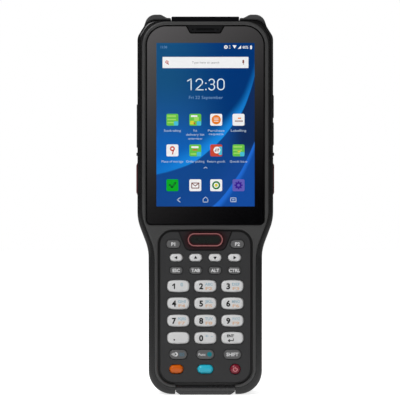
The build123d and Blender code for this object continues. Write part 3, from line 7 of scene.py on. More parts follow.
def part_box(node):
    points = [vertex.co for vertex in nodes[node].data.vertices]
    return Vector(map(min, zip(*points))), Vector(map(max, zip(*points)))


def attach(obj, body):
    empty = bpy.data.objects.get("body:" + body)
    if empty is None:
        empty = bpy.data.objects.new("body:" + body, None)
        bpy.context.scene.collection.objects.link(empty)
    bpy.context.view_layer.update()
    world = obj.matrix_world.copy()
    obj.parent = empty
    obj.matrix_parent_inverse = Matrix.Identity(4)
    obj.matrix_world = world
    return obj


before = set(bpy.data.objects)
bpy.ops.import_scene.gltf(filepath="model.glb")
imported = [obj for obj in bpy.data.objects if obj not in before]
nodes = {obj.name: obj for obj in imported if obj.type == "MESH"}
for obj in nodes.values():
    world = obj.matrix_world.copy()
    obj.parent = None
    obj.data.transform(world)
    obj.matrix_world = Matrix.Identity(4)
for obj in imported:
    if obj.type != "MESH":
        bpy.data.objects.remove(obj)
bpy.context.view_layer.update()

# ---------------------------------------------------------------- camera
# It looks straight at the terminal's front from far away through a long lens.
MM = 0.001
camera_data = bpy.data.cameras.new("camera")
camera_data.lens = 135
camera_data.sensor_width = 36
view_width = 211.2 * MM
front_y = -14.0 * MM
camera_distance = view_width * camera_data.lens / camera_data.sensor_width
camera = bpy.data.objects.new("camera", camera_data)
bpy.context.scene.collection.objects.link(camera)
camera.location = (-2.81 * MM, front_y - camera_distance, 103.2 * MM)
camera.rotation_euler = (math.pi / 2, 0, 0)
bpy.context.scene.camera = camera
bpy.context.scene.view_settings.view_transform = "Standard"


# ---------------------------------------------------------------- floor, lights and surroundings
# A white floor that takes a soft shadow and shows in gloss near the terminal, three large soft lamps,
# and a studio that is dark round the camera but for a soft box at the upper left.
def calc(tree, operation, *values):
    """The result of a Math node fed with numbers and sockets."""
    node = tree.nodes.new("ShaderNodeMath")
    node.operation = operation
    for socket, value in zip(node.inputs, values):
        if isinstance(value, (int, float)):
            socket.default_value = value
        else:
            tree.links.new(value, socket)
    return node.outputs[0]


def spread(tree, value, low_in, high_in, low_out=0.0, high_out=1.0, kind="LINEAR"):
    """A value carried from one range to another by a Map Range node."""
    node = tree.nodes.new("ShaderNodeMapRange")
    node.interpolation_type = kind
    numbers = (low_in, high_in, low_out, high_out)
    for socket, number in zip(("From Min", "From Max", "To Min", "To Max"), numbers):
        node.inputs[socket].default_value = number
    tree.links.new(value, node.inputs["Value"])
    return node.outputs["Result"]


def mixed(tree, factor, first, second, blend="MIX"):
    """Two colours mixed; each value is a number, a colour or a socket."""
    node = tree.nodes.new("ShaderNodeMix")
    node.data_type = "RGBA"
    node.blend_type = blend
    for socket, value in (("Factor", factor), ("A", first), ("B", second)):
        if isinstance(value, float):
            node.inputs[socket].default_value = value
        elif isinstance(value, tuple):
            node.inputs[socket].default_value = (*value, 1)
        else:
            tree.links.new(value, node.inputs[socket])
    return node.outputs["Result"]


FLOOR_WHITE = 0.74
MIRRORED_FULL = 0.08  # the white floor shows in gloss up to this far from the origin, in metres
MIRRORED_NONE = 0.30
floor_mesh = bpy.data.meshes.new("floor")
bm = bmesh.new()
bmesh.ops.create_grid(bm, x_segments=1, y_segments=1, size=2.2)
bm.to_mesh(floor_mesh)
bm.free()
floor = bpy.data.objects.new("floor", floor_mesh)
bpy.context.scene.collection.objects.link(floor)
floor_paint = bpy.data.materials.new("floor_paint")
floor_paint.use_nodes = True
tree = floor_paint.node_tree
tree.nodes.clear()
floor_out = tree.nodes.new("ShaderNodeOutputMaterial")
floor_matte = tree.nodes.new("ShaderNodeBsdfDiffuse")
floor_matte.inputs["Color"].default_value = (0.85, 0.85, 0.85, 1)
floor_white = tree.nodes.new("ShaderNodeEmission")
floor_white.inputs["Strength"].default_value = FLOOR_WHITE
floor_sum = tree.nodes.new("ShaderNodeAddShader")
floor_pick = tree.nodes.new("ShaderNodeMixShader")
floor_ray = tree.nodes.new("ShaderNodeLightPath")
floor_place = tree.nodes.new("ShaderNodeTexCoord")
floor_reach = tree.nodes.new("ShaderNodeVectorMath")
floor_reach.operation = "LENGTH"
tree.links.new(floor_place.outputs["Object"], floor_reach.inputs[0])
near = spread(tree, floor_reach.outputs["Value"], MIRRORED_FULL, MIRRORED_NONE, 1.0, 0.0)
mirrored_near = calc(tree, "MULTIPLY", floor_ray.outputs["Is Glossy Ray"], near)
floor_seen = calc(tree, "MAXIMUM", floor_ray.outputs["Is Camera Ray"], mirrored_near)
floor_seen = calc(tree, "MAXIMUM", floor_seen, floor_ray.outputs["Is Transmission Ray"])
tree.links.new(floor_seen, floor_pick.inputs["Fac"])
tree.links.new(floor_matte.outputs[0], floor_sum.inputs[0])
tree.links.new(floor_white.outputs[0], floor_sum.inputs[1])
tree.links.new(floor_matte.outputs[0], floor_pick.inputs[1])
tree.links.new(floor_sum.outputs[0], floor_pick.inputs[2])
tree.links.new(floor_pick.outputs[0], floor_out.inputs["Surface"])
floor_mesh.materials.append(floor_paint)

FILL_LEVEL = 0.36
ROOM_LEVEL = 0.12
# directions at which these fade out or begin, as parts of a unit vector
BOX_SIDE = (0.055, 0.08)
BOX_TOP = (0.13, 0.16)
ROOM_EDGE = (-0.97, -0.70)
world = bpy.data.worlds.new("studio")
bpy.context.scene.world = world
world.use_nodes = True
tree = world.node_tree
tree.nodes.clear()
world_out = tree.nodes.new("ShaderNodeOutputWorld")
fill_light = tree.nodes.new("ShaderNodeBackground")
fill_light.inputs["Strength"].default_value = FILL_LEVEL
fill_light.inputs["Color"].default_value = (1, 1, 1, 1)
white_wall = tree.nodes.new("ShaderNodeBackground")
white_wall.inputs["Color"].default_value = (1, 1, 1, 1)
mirrored = tree.nodes.new("ShaderNodeBackground")
mirrored.inputs["Color"].default_value = (1, 0.96, 0.97, 1)
direction = tree.nodes.new("ShaderNodeTexCoord")
axes = tree.nodes.new("ShaderNodeSeparateXYZ")
tree.links.new(direction.outputs["Generated"], axes.inputs[0])

# the soft box is a small one above the camera that grows brighter upwards and to the left
rise = calc(tree, "MULTIPLY_ADD", axes.outputs["Z"], 7.6, 0.36)
slope = calc(tree, "MULTIPLY_ADD", axes.outputs["X"], -6.0, rise)
glare = calc(tree, "POWER", calc(tree, "MINIMUM", calc(tree, "MAXIMUM", slope, 0.0), 1.5), 2.0)
sideways = calc(tree, "ABSOLUTE", axes.outputs["X"])
beside = spread(tree, sideways, *BOX_SIDE, 1.0, 0.0, "SMOOTHSTEP")
above = spread(tree, axes.outputs["Z"], *BOX_TOP, 1.0, 0.0, "SMOOTHSTEP")
ahead = calc(tree, "LESS_THAN", axes.outputs["Y"], 0.0)
soft_box = calc(tree, "MULTIPLY", glare, ahead)
soft_box = calc(tree, "MULTIPLY", soft_box, calc(tree, "MULTIPLY", beside, above))
room = spread(tree, axes.outputs["Y"], *ROOM_EDGE, 0.0, ROOM_LEVEL, "SMOOTHSTEP")
tree.links.new(calc(tree, "MAXIMUM", soft_box, room), mirrored.inputs["Strength"])
rays = tree.nodes.new("ShaderNodeLightPath")
glossy_pick = tree.nodes.new("ShaderNodeMixShader")
camera_pick = tree.nodes.new("ShaderNodeMixShader")
tree.links.new(rays.outputs["Is Glossy Ray"], glossy_pick.inputs["Fac"])
tree.links.new(fill_light.outputs[0], glossy_pick.inputs[1])
tree.links.new(mirrored.outputs[0], glossy_pick.inputs[2])
seen = calc(tree, "MAXIMUM", rays.outputs["Is Camera Ray"], rays.outputs["Is Transmission Ray"])
tree.links.new(seen, camera_pick.inputs["Fac"])
tree.links.new(glossy_pick.outputs[0], camera_pick.inputs[1])
tree.links.new(white_wall.outputs[0], camera_pick.inputs[2])
tree.links.new(camera_pick.outputs[0], world_out.inputs["Surface"])


LAMP_AIM = Vector((0, 0, 0.1))


def soft_lamp(name, place, size, power):
    """A square lamp, size metres wide, that faces the middle of the terminal."""
    data = bpy.data.lights.new(name, "AREA")
    data.shape = "SQUARE"
    data.size = size
    data.energy = power
    lamp = bpy.data.objects.new(name, data)
    bpy.context.scene.collection.objects.link(lamp)
    lamp.location = place
    lamp.rotation_euler = (LAMP_AIM - Vector(place)).to_track_quat("-Z", "Y").to_euler()


soft_lamp("key_lamp", (-0.65, -0.85, 1.05), 0.7, 11.0)
soft_lamp("side_lamp", (0.95, -0.55, 0.55), 0.6, 0.6)
soft_lamp("back_lamp", (0.1, 0.9, 0.9), 0.9, 5.0)


# ---------------------------------------------------------------- rear housing
# Black moulded shell with the battery door, its latch, the port lid, the rocker and the foot block.
# Glass-filled nylon with a fine spark-eroded grain, screwed to the front housing.
def new_paint(name):
    """A new material, with its tree, its shader and the socket of the object's own coordinates."""
    material = bpy.data.materials.new(name)
    material.use_nodes = True
    tree = material.node_tree
    place = tree.nodes.new("ShaderNodeTexCoord")
    return material, tree, tree.nodes["Principled BSDF"], place.outputs["Object"]


def noise(tree, place, scale, detail=2.0):
    """Noise of this scale on an object's coordinates."""
    node = tree.nodes.new("ShaderNodeTexNoise")
    node.inputs["Scale"].default_value = scale
    node.inputs["Detail"].default_value = detail
    tree.links.new(place, node.inputs["Vector"])
    return node.outputs["Fac"]


GRAIN_SCALE = 1 / 0.00028
BUMP_HEIGHT = 0.00005


def moulded(name, colour, roughness=0.5, relief=0.10, mottling=0.12, specular=0.3):
    """Moulded plastic: a fine grain from the tool's surface and a faint unevenness of its colour."""
    material, tree, shader, place = new_paint(name)
    shader.inputs["Specular IOR Level"].default_value = specular
    fine = noise(tree, place, GRAIN_SCALE)
    wide = noise(tree, place, 90.0, 4.0)
    darker = tuple(part * (1 - mottling) for part in colour)
    lighter = tuple(min(1, part * (1 + mottling)) for part in colour)
    tree.links.new(mixed(tree, wide, darker, lighter), shader.inputs["Base Color"])
    gloss = spread(tree, wide, 0.0, 1.0, roughness - 0.06, roughness + 0.06)
    tree.links.new(gloss, shader.inputs["Roughness"])
    bump = tree.nodes.new("ShaderNodeBump")
    bump.inputs["Strength"].default_value = relief
    bump.inputs["Distance"].default_value = BUMP_HEIGHT
    tree.links.new(fine, bump.inputs["Height"])
    tree.links.new(bump.outputs["Normal"], shader.inputs["Normal"])
    return material


def dress(material, *names):
    """Gives CAD nodes a finish."""
    for name in names:
        data = nodes[name].data
        data.materials.clear()
        data.materials.append(material)


dress(moulded("black_shell", (0.0025, 0.0025, 0.0028), 0.24, specular=0.45), "rear_housing")
dress(moulded("black_door", (0.012, 0.012, 0.013), 0.50, relief=0.2, specular=0.2), "battery_door")
black_trim = moulded("black_trim", (0.012, 0.012, 0.013), 0.42, specular=0.25)
dress(black_trim, "door_latch", "port_lid", "volume_rocker")
dress(moulded("foot_black", (0.010, 0.010, 0.011), 0.26, specular=0.6), "dock_block")


# ---------------------------------------------------------------- front housing
# Satin grey frame round the glass and the keypad. Its colour turns black a little behind its front face,
# which is painted shade in its recesses and gaps.
# the painted shade in recesses: how far it fades in, in millimetres, and its black
SHADE_FADE = 0.3
RECESS_SHADE = (0.001, 0.001, 0.001)


def recess_shaded(name, colour, shade_depth, roughness, specular=0.3, relief=0.10):
    """Moulded plastic that turns black behind this depth, in millimetres: painted shade in its recesses and
    gaps.
    """
    material = moulded(name, colour, roughness, relief=relief, specular=specular)
    tree = material.node_tree
    shader = tree.nodes["Principled BSDF"]
    place = tree.nodes.new("ShaderNodeTexCoord")
    parts = tree.nodes.new("ShaderNodeSeparateXYZ")
    tree.links.new(place.outputs["Object"], parts.inputs[0])
    # share of black, from none at this depth to full a little behind it: painted shade
    shade_share = spread(tree, parts.outputs["Y"], shade_depth * MM, (shade_depth + SHADE_FADE) * MM)
    paint = shader.inputs["Base Color"].links[0].from_socket
    tree.links.new(mixed(tree, shade_share, paint, RECESS_SHADE), shader.inputs["Base Color"])
    return material


# the pockets round the glass and the keypad and the gap under the keypad go black as painted shade
dress(recess_shaded("grey_shell", (0.048, 0.048, 0.048), -12.9, 0.40, specular=0.4), "front_housing")

# ---------------------------------------------------------------- corner guards and window frame
# Two soft-touch guards on the upper corners, overmoulded on the rear housing, and the frame between
# them that holds the scan window.
dress(moulded("guard_black", (0.050, 0.050, 0.051), 0.40), "corner_guard_left", "corner_guard_right")
dress(moulded("frame_black", (0.003, 0.003, 0.004), 0.5, specular=0.05), "scan_window_frame")


# ---------------------------------------------------------------- cover glass and earpiece
# Hardened glass over the whole front of the head, printed black on its inner side, with the earpiece's
# matt black cover in its notch. The camera and scan windows are of the same kind.
def polished(name, colour, roughness=0.05, specular=0.5):
    """A smooth glossy surface with faint smears that change its gloss a little."""
    material, tree, shader, place = new_paint(name)
    shader.inputs["Base Color"].default_value = (*colour, 1)
    shader.inputs["Specular IOR Level"].default_value = specular
    smear = noise(tree, place, 35.0, 3.0)
    gloss = spread(tree, smear, 0.0, 1.0, roughness * 0.7, roughness * 1.5)
    tree.links.new(gloss, shader.inputs["Roughness"])
    return material


dress(polished("black_glass", (0.002, 0.002, 0.0025), specular=0.6), "display_glass")
dress(polished("camera_glass", (0.004, 0.004, 0.005)), "camera_window")
dress(polished("red_glass", (0.020, 0.003, 0.004)), "scan_window")
dress(moulded("earpiece_black", (0.006, 0.006, 0.007), 0.55, specular=0.15), "earpiece")


# ---------------------------------------------------------------- lit picture
# What the touch screen shows: a home page with a search field, a clock and plain tiles. The picture
# lies on the glass as sheets a few hundredths of a millimetre apart, with the raster of the panel.
SCREEN_GAIN = 1.14  # the panel's own light lifts the wallpaper by this much
PIXEL = 0.108


def lit(name, colour):
    """A colour of the lit picture, with the faint raster of its pixels."""
    material = polished(name, colour, 0.2, 0.03)
    tree = material.node_tree
    raster = tree.nodes.new("ShaderNodeTexChecker")
    raster.inputs["Scale"].default_value = 1 / (PIXEL * MM)
    raster.inputs["Color1"].default_value = (*[min(1, 1.10 * c) for c in colour], 1)
    raster.inputs["Color2"].default_value = (*[min(1, 1.04 * c) for c in colour], 1)
    place = tree.nodes.new("ShaderNodeTexCoord")
    tree.links.new(place.outputs["Object"], raster.inputs["Vector"])
    tree.links.new(raster.outputs["Color"], tree.nodes["Principled BSDF"].inputs["Base Color"])
    return material


def bar(bm, x, z, width, height, corner=0.0, turn=0.0):
    """A flat rectangle, in millimetres, with round corners if wanted."""
    made = bmesh.ops.create_grid(bm, x_segments=1, y_segments=1, size=0.5)["verts"]
    bmesh.ops.scale(bm, vec=(width, height, 1), verts=made)
    if corner:
        made = bmesh.ops.bevel(
            bm, geom=made, offset=corner, offset_type="OFFSET", affect="VERTICES", segments=6, profile=0.5,
            material=-1,
        )["verts"]
    bmesh.ops.rotate(bm, cent=(0, 0, 0), matrix=Matrix.Rotation(turn, 3, "Z"), verts=made)
    bmesh.ops.translate(bm, vec=(x, z, 0), verts=made)


def disc(bm, x, z, radius):
    """A flat round spot, in millimetres."""
    made = bmesh.ops.create_circle(bm, cap_ends=True, segments=28, radius=radius)["verts"]
    bmesh.ops.translate(bm, vec=(x, z, 0), verts=made)


def wedge(bm, x, z, radius, turn=0.0):
    """A flat triangle whose point is turned anticlockwise from upright, in degrees."""
    made = bmesh.ops.create_circle(bm, cap_ends=True, segments=3, radius=radius)["verts"]
    bmesh.ops.rotate(bm, cent=(0, 0, 0), matrix=Matrix.Rotation(math.radians(turn), 3, "Z"), verts=made)
    bmesh.ops.translate(bm, vec=(x, z, 0), verts=made)


def ring(bm, x, z, radius, width, start=0.0, sweep=360.0):
    """A flat ring or a part of one; angles in degrees from the right, anticlockwise."""
    turn = Matrix.Rotation(math.radians(start), 3, "Z")
    ends = [bm.verts.new(turn @ Vector((radius + side * width / 2, 0, 0))) for side in (-1, 1)]
    edge = bm.edges.new(ends)
    before = set(bm.verts) - set(ends)
    bmesh.ops.spin(
        bm, geom=[edge, *ends], cent=(0, 0, 0), axis=(0, 0, 1), angle=math.radians(sweep),
        steps=max(3, int(abs(sweep) / 12)), use_merge=sweep == 360.0,
    )
    made = [vert for vert in bm.verts if vert not in before]
    bmesh.ops.translate(bm, vec=(x, z, 0), verts=made)


def stroke(bm, points, width):
    """A drawn line of straight runs with round joints."""
    for (x0, z0), (x1, z1) in zip(points, points[1:]):
        run, rise = x1 - x0, z1 - z0
        bar(bm, (x0 + x1) / 2, (z0 + z1) / 2, math.hypot(run, rise), width, turn=math.atan2(rise, run))
    for x, z in points:
        disc(bm, x, z, width / 2)


def words(bm, text, x, z, height, width=None, weight=0.0, at="CENTER"):
    """Lettering with capitals of this height, centred on x or starting there."""
    letters = bpy.data.curves.new("letters", "FONT")
    letters.body = text
    letters.offset = weight
    letters.resolution_u = 4
    holder = bpy.data.objects.new("letters", letters)
    bpy.context.scene.collection.objects.link(holder)
    bpy.context.view_layer.update()
    flat = bpy.data.meshes.new_from_object(holder.evaluated_get(bpy.context.evaluated_depsgraph_get()))
    capital = 0.69
    low_x = min(v.co.x for v in flat.vertices)
    high_x = max(v.co.x for v in flat.vertices)
    tall = height / capital
    wide = width / (high_x - low_x) if width else tall
    middle = (low_x + high_x) / 2 if at == "CENTER" else low_x
    centred = Matrix.Translation((-middle, -capital / 2, 0))
    flat.transform(Matrix.Translation((x, z, 0)) @ Matrix.Diagonal((wide, tall, 1, 1)) @ centred)
    bm.from_mesh(flat)
    bpy.data.objects.remove(holder)
    bpy.data.meshes.remove(flat)
    bpy.data.curves.remove(letters)


def laid(name, bm, y, material, body="casing", behind=False):
    """Stands a flat drawing up at depth y, in millimetres, facing the user or, if behind, the back."""
    bmesh.ops.recalc_face_normals(bm, faces=bm.faces)
    for face in bm.faces:
        face.normal_update()
        if face.normal.z < 0:
            face.normal_flip()
    bmesh.ops.scale(bm, vec=(MM, MM, MM), verts=bm.verts)
    bmesh.ops.rotate(bm, cent=(0, 0, 0), matrix=Matrix.Rotation(math.pi / 2, 3, "X"), verts=bm.verts)
    if behind:
        bmesh.ops.rotate(bm, cent=(0, 0, 0), matrix=Matrix.Rotation(math.pi, 3, "Z"), verts=bm.verts)
    bmesh.ops.translate(bm, vec=(0, y * MM, 0), verts=bm.verts)
    mesh = bpy.data.meshes.new(name)
    bm.to_mesh(mesh)
    bm.free()
    mesh.materials.append(material)
    piece = bpy.data.objects.new(name, mesh)
    bpy.context.scene.collection.objects.link(piece)
    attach(piece, body)
    return piece


PICTURE_X = 0.1
PICTURE_WIDTH = 51.84
PICTURE_HEIGHT = 86.4
PICTURE_Z = 143.0
PICTURE_Y = -13.52
SHEET = 0.015

wallpaper = lit("wallpaper", (0.004, 0.05, 0.2))
paper_tree = wallpaper.node_tree
place = paper_tree.nodes.new("ShaderNodeTexCoord")
across_up = paper_tree.nodes.new("ShaderNodeSeparateXYZ")
paper_tree.links.new(place.outputs["Object"], across_up.inputs[0])
across = across_up.outputs["X"]
up = across_up.outputs["Z"]
CURVE_HALF = 26  # the curves' grid: half its width, its foot and its height, in millimetres
CURVE_LOW = 90
CURVE_TALL = 100


def eased(value, start, end, low_out=0.0, high_out=1.0):
    """A soft step between two places, in millimetres."""
    return spread(paper_tree, value, start * MM, end * MM, low_out, high_out, "SMOOTHSTEP")


def swoosh(points):
    """Height above a curved line across the picture, in metres, from points in millimetres."""
    curve = paper_tree.nodes.new("ShaderNodeFloatCurve")
    line = curve.mapping.curves[0]
    spots = [((x + CURVE_HALF) / (2 * CURVE_HALF), (z - CURVE_LOW) / CURVE_TALL) for x, z in points]
    line.points[0].location = spots[0]
    line.points[1].location = spots[-1]
    for spot in spots[1:-1]:
        line.points.new(*spot)
    curve.mapping.update()
    along = spread(paper_tree, across, -CURVE_HALF * MM, CURVE_HALF * MM)
    paper_tree.links.new(along, curve.inputs["Value"])
    high = (CURVE_LOW + CURVE_TALL) * MM
    height = spread(paper_tree, curve.outputs["Value"], 0.0, 1.0, CURVE_LOW * MM, high)
    return calc(paper_tree, "SUBTRACT", up, height)


def tinted(below, colour, amount):
    """Another colour over what is there, as strongly as amount says."""
    if isinstance(below, tuple):
        below = tuple(SCREEN_GAIN * part for part in below)
    return mixed(paper_tree, amount, below, tuple(SCREEN_GAIN * part for part in colour))


def product(first, second):
    """Two values multiplied."""
    return calc(paper_tree, "MULTIPLY", first, second)


upper = swoosh([
    (-26, 116.4), (-13.9, 119.7), (-5.4, 123.3), (1.2, 128.3), (8.5, 134.9), (13.8, 141.5), (19.1, 148.8),
    (23.0, 158), (26, 168),
])
lower = swoosh([
    (-26, 92), (-4.3, 95), (3.9, 99.9), (9.8, 105.8), (15.1, 113.1), (19.1, 119.1), (23.0, 127), (26, 134),
])

# above the upper curve: brighter to the lower left, with a streak along the curve
paint = tinted((0.0080, 0.080, 0.21), (0.0005, 0.036, 0.178), eased(across, -22, 16))
paint = tinted(paint, (0.0100, 0.092, 0.34), product(eased(up, 168, 134), eased(across, 14, -16)))
low_left = product(eased(up, 150, 122), eased(upper, 0, 0.5))
paint = tinted(paint, (0.0040, 0.125, 0.50), low_left)
streak = product(eased(upper, 0, 0.7), eased(upper, 1.5, 11, 0.95, 0.0))
low_part = eased(up, 176, 138, 0.30, 1.0)
left_part = eased(across, -26, -2, 0.35, 1.0)
paint = tinted(paint, (0.0100, 0.26, 0.78), product(streak, product(low_part, left_part)))

# between the curves
under = eased(upper, 0.3, -0.5)
paint = tinted(paint, (0.0060, 0.060, 0.262), product(under, eased(upper, 0, -3, 0.95, 0.85)))
high_right = product(eased(up, 122, 134), eased(across, 10, 21))
paint = tinted(paint, (0.0086, 0.066, 0.305), product(eased(upper, -8, -26, 0.0, 0.9), under))
paint = tinted(paint, (0.0060, 0.026, 0.105), product(high_right, under))

# below the lower curve
side = eased(lower, 0.4, -0.3)
paint = tinted(paint, (0.0070, 0.080, 0.40), product(side, eased(lower, -0.6, -14, 0.95, 0.55)))
paint = tinted(paint, (0.0160, 0.155, 0.68), product(side, eased(lower, -1.2, -6, 0.9, 0.0)))

raster = next(node for node in paper_tree.nodes if node.bl_idname == "ShaderNodeTexChecker")
raster.inputs["Color1"].default_value = (1, 1, 1, 1)
raster.inputs["Color2"].default_value = (0.95, 0.95, 0.95, 1)
screened = mixed(paper_tree, 1.0, paint, raster.outputs["Color"], "MULTIPLY")
paper_tree.links.new(screened, paper_tree.nodes["Principled BSDF"].inputs["Base Color"])

bm = bmesh.new()
bar(bm, PICTURE_X, PICTURE_Z, PICTURE_WIDTH, PICTURE_HEIGHT)
laid("screen_wallpaper", bm, PICTURE_Y, wallpaper)

screen_white = lit("screen_white", (0.95, 0.95, 0.96))
screen_label = lit("screen_label", (0.55, 0.66, 0.80))
screen_clock = lit("screen_clock", (0.74, 0.86, 0.96))
screen_pale = lit("screen_pale", (0.17, 0.34, 0.60))
screen_grey = lit("screen_grey", (0.30, 0.31, 0.31))
screen_brown = lit("screen_brown", (0.22, 0.05, 0.04))
screen_red = lit("screen_red", (0.62, 0.07, 0.04))
screen_orange = lit("screen_orange", (0.86, 0.22, 0.02))
screen_yellow = lit("screen_yellow", (0.72, 0.68, 0.05))
screen_leaf = lit("screen_leaf", (0.14, 0.56, 0.07))
screen_lime = lit("screen_lime", (0.36, 0.72, 0.14))
screen_green = lit("screen_green", (0.005, 0.42, 0.02))
screen_moss = lit("screen_moss", (0.01, 0.19, 0.03))
screen_cyan = lit("screen_cyan", (0.07, 0.55, 0.72))
screen_lilac = lit("screen_lilac", (0.14, 0.12, 0.50))
screen_violet = lit("screen_violet", (0.055, 0.022, 0.36))

ICON = 6.3
ICON_CORNER = 0.8
COLUMNS = (-17.4, -5.3, 5.75, 17.55)
LEFT, MID_LEFT, MID_RIGHT, RIGHT = COLUMNS
TOP_ROW = 145.6
SECOND_ROW = 129.4
DOCK_ROW = 111.0
NAV_ROW = 103.3
FRONT_SHEET = PICTURE_Y - SHEET
MARK_SHEET = PICTURE_Y - 2 * SHEET
TOP_SHEET = PICTURE_Y - 3 * SHEET

# status line: time, small signs, charge
bm = bmesh.new()
words(bm, "12:30", -23.6, 184.0, 1.2, 3.4, at="LEFT")
laid("screen_time", bm, FRONT_SHEET, screen_pale)
bm = bmesh.new()
words(bm, "80%", 21.2, 183.9, 1.4, 3.0, weight=0.01)
bar(bm, 24.15, 183.75, 1.0, 1.7, 0.15)
bar(bm, 24.15, 184.8, 0.45, 0.4)
ring(bm, 10.85, 184.0, 0.75, 0.45)
bar(bm, 10.85, 184.0, 0.5, 0.5)
stroke(bm, [(12.65, 184.7), (13.1, 183.3)], 0.35)
stroke(bm, [(12.65, 183.3), (13.1, 184.7)], 0.35)
bar(bm, 12.85, 184.0, 0.3, 1.9)
wedge(bm, 15.45, 184.35, 1.25, 180)
laid("screen_status", bm, FRONT_SHEET, screen_white)
bm = bmesh.new()
slanted = [bm.verts.new(spot) for spot in ((17.2, 183.1, 0), (18.9, 183.1, 0), (18.9, 184.9, 0))]
bm.faces.new(slanted)
laid("screen_signal", bm, FRONT_SHEET, screen_white)

# search field
bm = bmesh.new()
bar(bm, 0.1, 175.85, 45.4, 5.9, 0.2)
laid("screen_search", bm, FRONT_SHEET, screen_white)
bm = bmesh.new()
words(bm, "Type here to search", 0.15, 175.85, 1.1, 14.4)
laid("screen_search_words", bm, MARK_SHEET, screen_grey)
bm = bmesh.new()
ring(bm, -20.3, 176.1, 0.62, 0.42)
stroke(bm, [(-19.9, 175.5), (-19.5, 174.8)], 0.42)
laid("screen_search_lens", bm, MARK_SHEET, screen_red)
bm = bmesh.new()
bar(bm, 20.05, 176.3, 0.9, 1.9, 0.4)
bar(bm, 20.05, 174.9, 0.3, 0.5)
laid("screen_search_voice", bm, MARK_SHEET, screen_brown)

# clock, drawn with thin strokes, and the date under it
CLOCK_TOP = 167.15
CLOCK_FOOT = 161.45
CLOCK_LINE = 0.56
bm = bmesh.new()
stroke(bm, [(-9.4, 166.1), (-7.5, CLOCK_TOP), (-7.5, CLOCK_FOOT)], CLOCK_LINE)
ring(bm, -3.2, 165.45, 1.70, CLOCK_LINE, 175.0, -220.0)
stroke(bm, [(-2.0, 164.25), (-5.05, CLOCK_FOOT), (-1.15, CLOCK_FOOT)], CLOCK_LINE)
disc(bm, 0.3, 164.9, 0.36)
disc(bm, 0.3, 161.6, 0.36)
ring(bm, 3.3, 165.65, 1.42, CLOCK_LINE, 165.0, -235.0)
ring(bm, 3.3, 162.9, 1.56, CLOCK_LINE, 75.0, -240.0)
bar(bm, 3.2, 164.3, 1.0, CLOCK_LINE * 0.9)
ring(bm, 8.2, 165.4, 1.72, CLOCK_LINE, 0.0, 180.0)
ring(bm, 8.2, 163.2, 1.72, CLOCK_LINE, 180.0, 180.0)
bar(bm, 8.2 - 1.72, 164.3, CLOCK_LINE, 2.2)
bar(bm, 8.2 + 1.72, 164.3, CLOCK_LINE, 2.2)
laid("screen_clock", bm, FRONT_SHEET, screen_clock)
bm = bmesh.new()
words(bm, "Fri 22 September", 0.35, 157.4, 1.6, 18.0)
laid("screen_date", bm, FRONT_SHEET, screen_pale)

# tiles: where and what colour
tiles = [
    (x, z, colour)
    for z, colours in (
        (TOP_ROW, (screen_leaf, screen_leaf, screen_white, screen_white)),
        (SECOND_ROW, (screen_white, screen_leaf, screen_red, screen_leaf)),
        (DOCK_ROW, (screen_green, screen_white, screen_white, screen_lilac)),
    )
    for x, colour in zip(COLUMNS, colours)
]
for colour in {tile[2].name: tile[2] for tile in tiles}.values():
    bm = bmesh.new()
    for x, z, own in tiles:
        if own is colour:
            bar(bm, x, z, ICON, ICON, ICON_CORNER)
    laid("tiles_" + colour.name, bm, FRONT_SHEET, colour)

# list, boxes and pallet marks on the green tiles, each with a blue corner
bm = bmesh.new()
for x, z in ((LEFT, TOP_ROW), (RIGHT, SECOND_ROW)):
    bar(bm, x - 0.4, z + 1.9, 4.6, 1.0, 0.2)
    bar(bm, x - 0.4, z + 0.1, 4.6, 0.7, 0.2)
    bar(bm, x - 0.9, z - 1.5, 3.4, 0.7, 0.2)
bar(bm, MID_LEFT + 0.6, TOP_ROW + 0.4, 2.6, 2.2, 0.3)
bar(bm, MID_LEFT - 1.0, SECOND_ROW - 1.9, 3.0, 0.8, 0.2)
laid("drawn_lime", bm, MARK_SHEET, screen_lime)
bm = bmesh.new()
bar(bm, MID_LEFT - 1.7, TOP_ROW - 1.5, 2.0, 2.0, 0.3)
disc(bm, MID_RIGHT, DOCK_ROW, 0.85)
bar(bm, RIGHT + 0.3, SECOND_ROW - 0.4, 1.5, 1.2, 0.2)
laid("drawn_yellow", bm, MARK_SHEET, screen_yellow)
bm = bmesh.new()
for x, z in ((LEFT, TOP_ROW), (MID_LEFT, TOP_ROW), (MID_LEFT, SECOND_ROW), (RIGHT, SECOND_ROW)):
    bar(bm, x + 1.95, z - 1.95, 2.3, 2.3, 0.5)
bar(bm, MID_RIGHT + 2.2, SECOND_ROW - 0.2, 1.8, 4.4, 0.4)
laid("drawn_cyan", bm, MARK_SHEET, screen_cyan)
bm = bmesh.new()
bar(bm, MID_LEFT - 0.6, TOP_ROW + 1.9, 3.4, 1.0, 0.2)
bar(bm, MID_LEFT - 0.2, SECOND_ROW + 1.7, 3.8, 1.0, 0.2)
laid("drawn_white", bm, MARK_SHEET, screen_white)
bm = bmesh.new()
disc(bm, MID_RIGHT + 0.4, SECOND_ROW + 0.2, 1.8)
laid("drawn_white_disc", bm, TOP_SHEET, screen_white)
bm = bmesh.new()
for step in (-0.45, 0.45):
    bar(bm, MID_RIGHT + 0.4, SECOND_ROW + 0.2 + step, 1.9, 0.35, 0.1)
wedge(bm, MID_RIGHT + 1.3, SECOND_ROW + 0.65, 0.55, -90)
wedge(bm, MID_RIGHT - 0.5, SECOND_ROW - 0.25, 0.55, 90)
laid("drawn_arrows", bm, PICTURE_Y - 4 * SHEET, screen_brown)
bm = bmesh.new()
disc(bm, MID_RIGHT, TOP_ROW, 2.45)
bar(bm, RIGHT + 0.5, TOP_ROW + 0.8, 1.8, 0.6, 0.2)
laid("drawn_orange", bm, MARK_SHEET, screen_orange)
bm = bmesh.new()
for step in (-0.85, 0.0, 0.85):
    bar(bm, MID_RIGHT, TOP_ROW + step, 2.4, 0.32, 0.1)
laid("drawn_orange_lines", bm, TOP_SHEET, screen_white)
bm = bmesh.new()
ring(bm, LEFT, SECOND_ROW + 0.9, 0.95, 0.72)
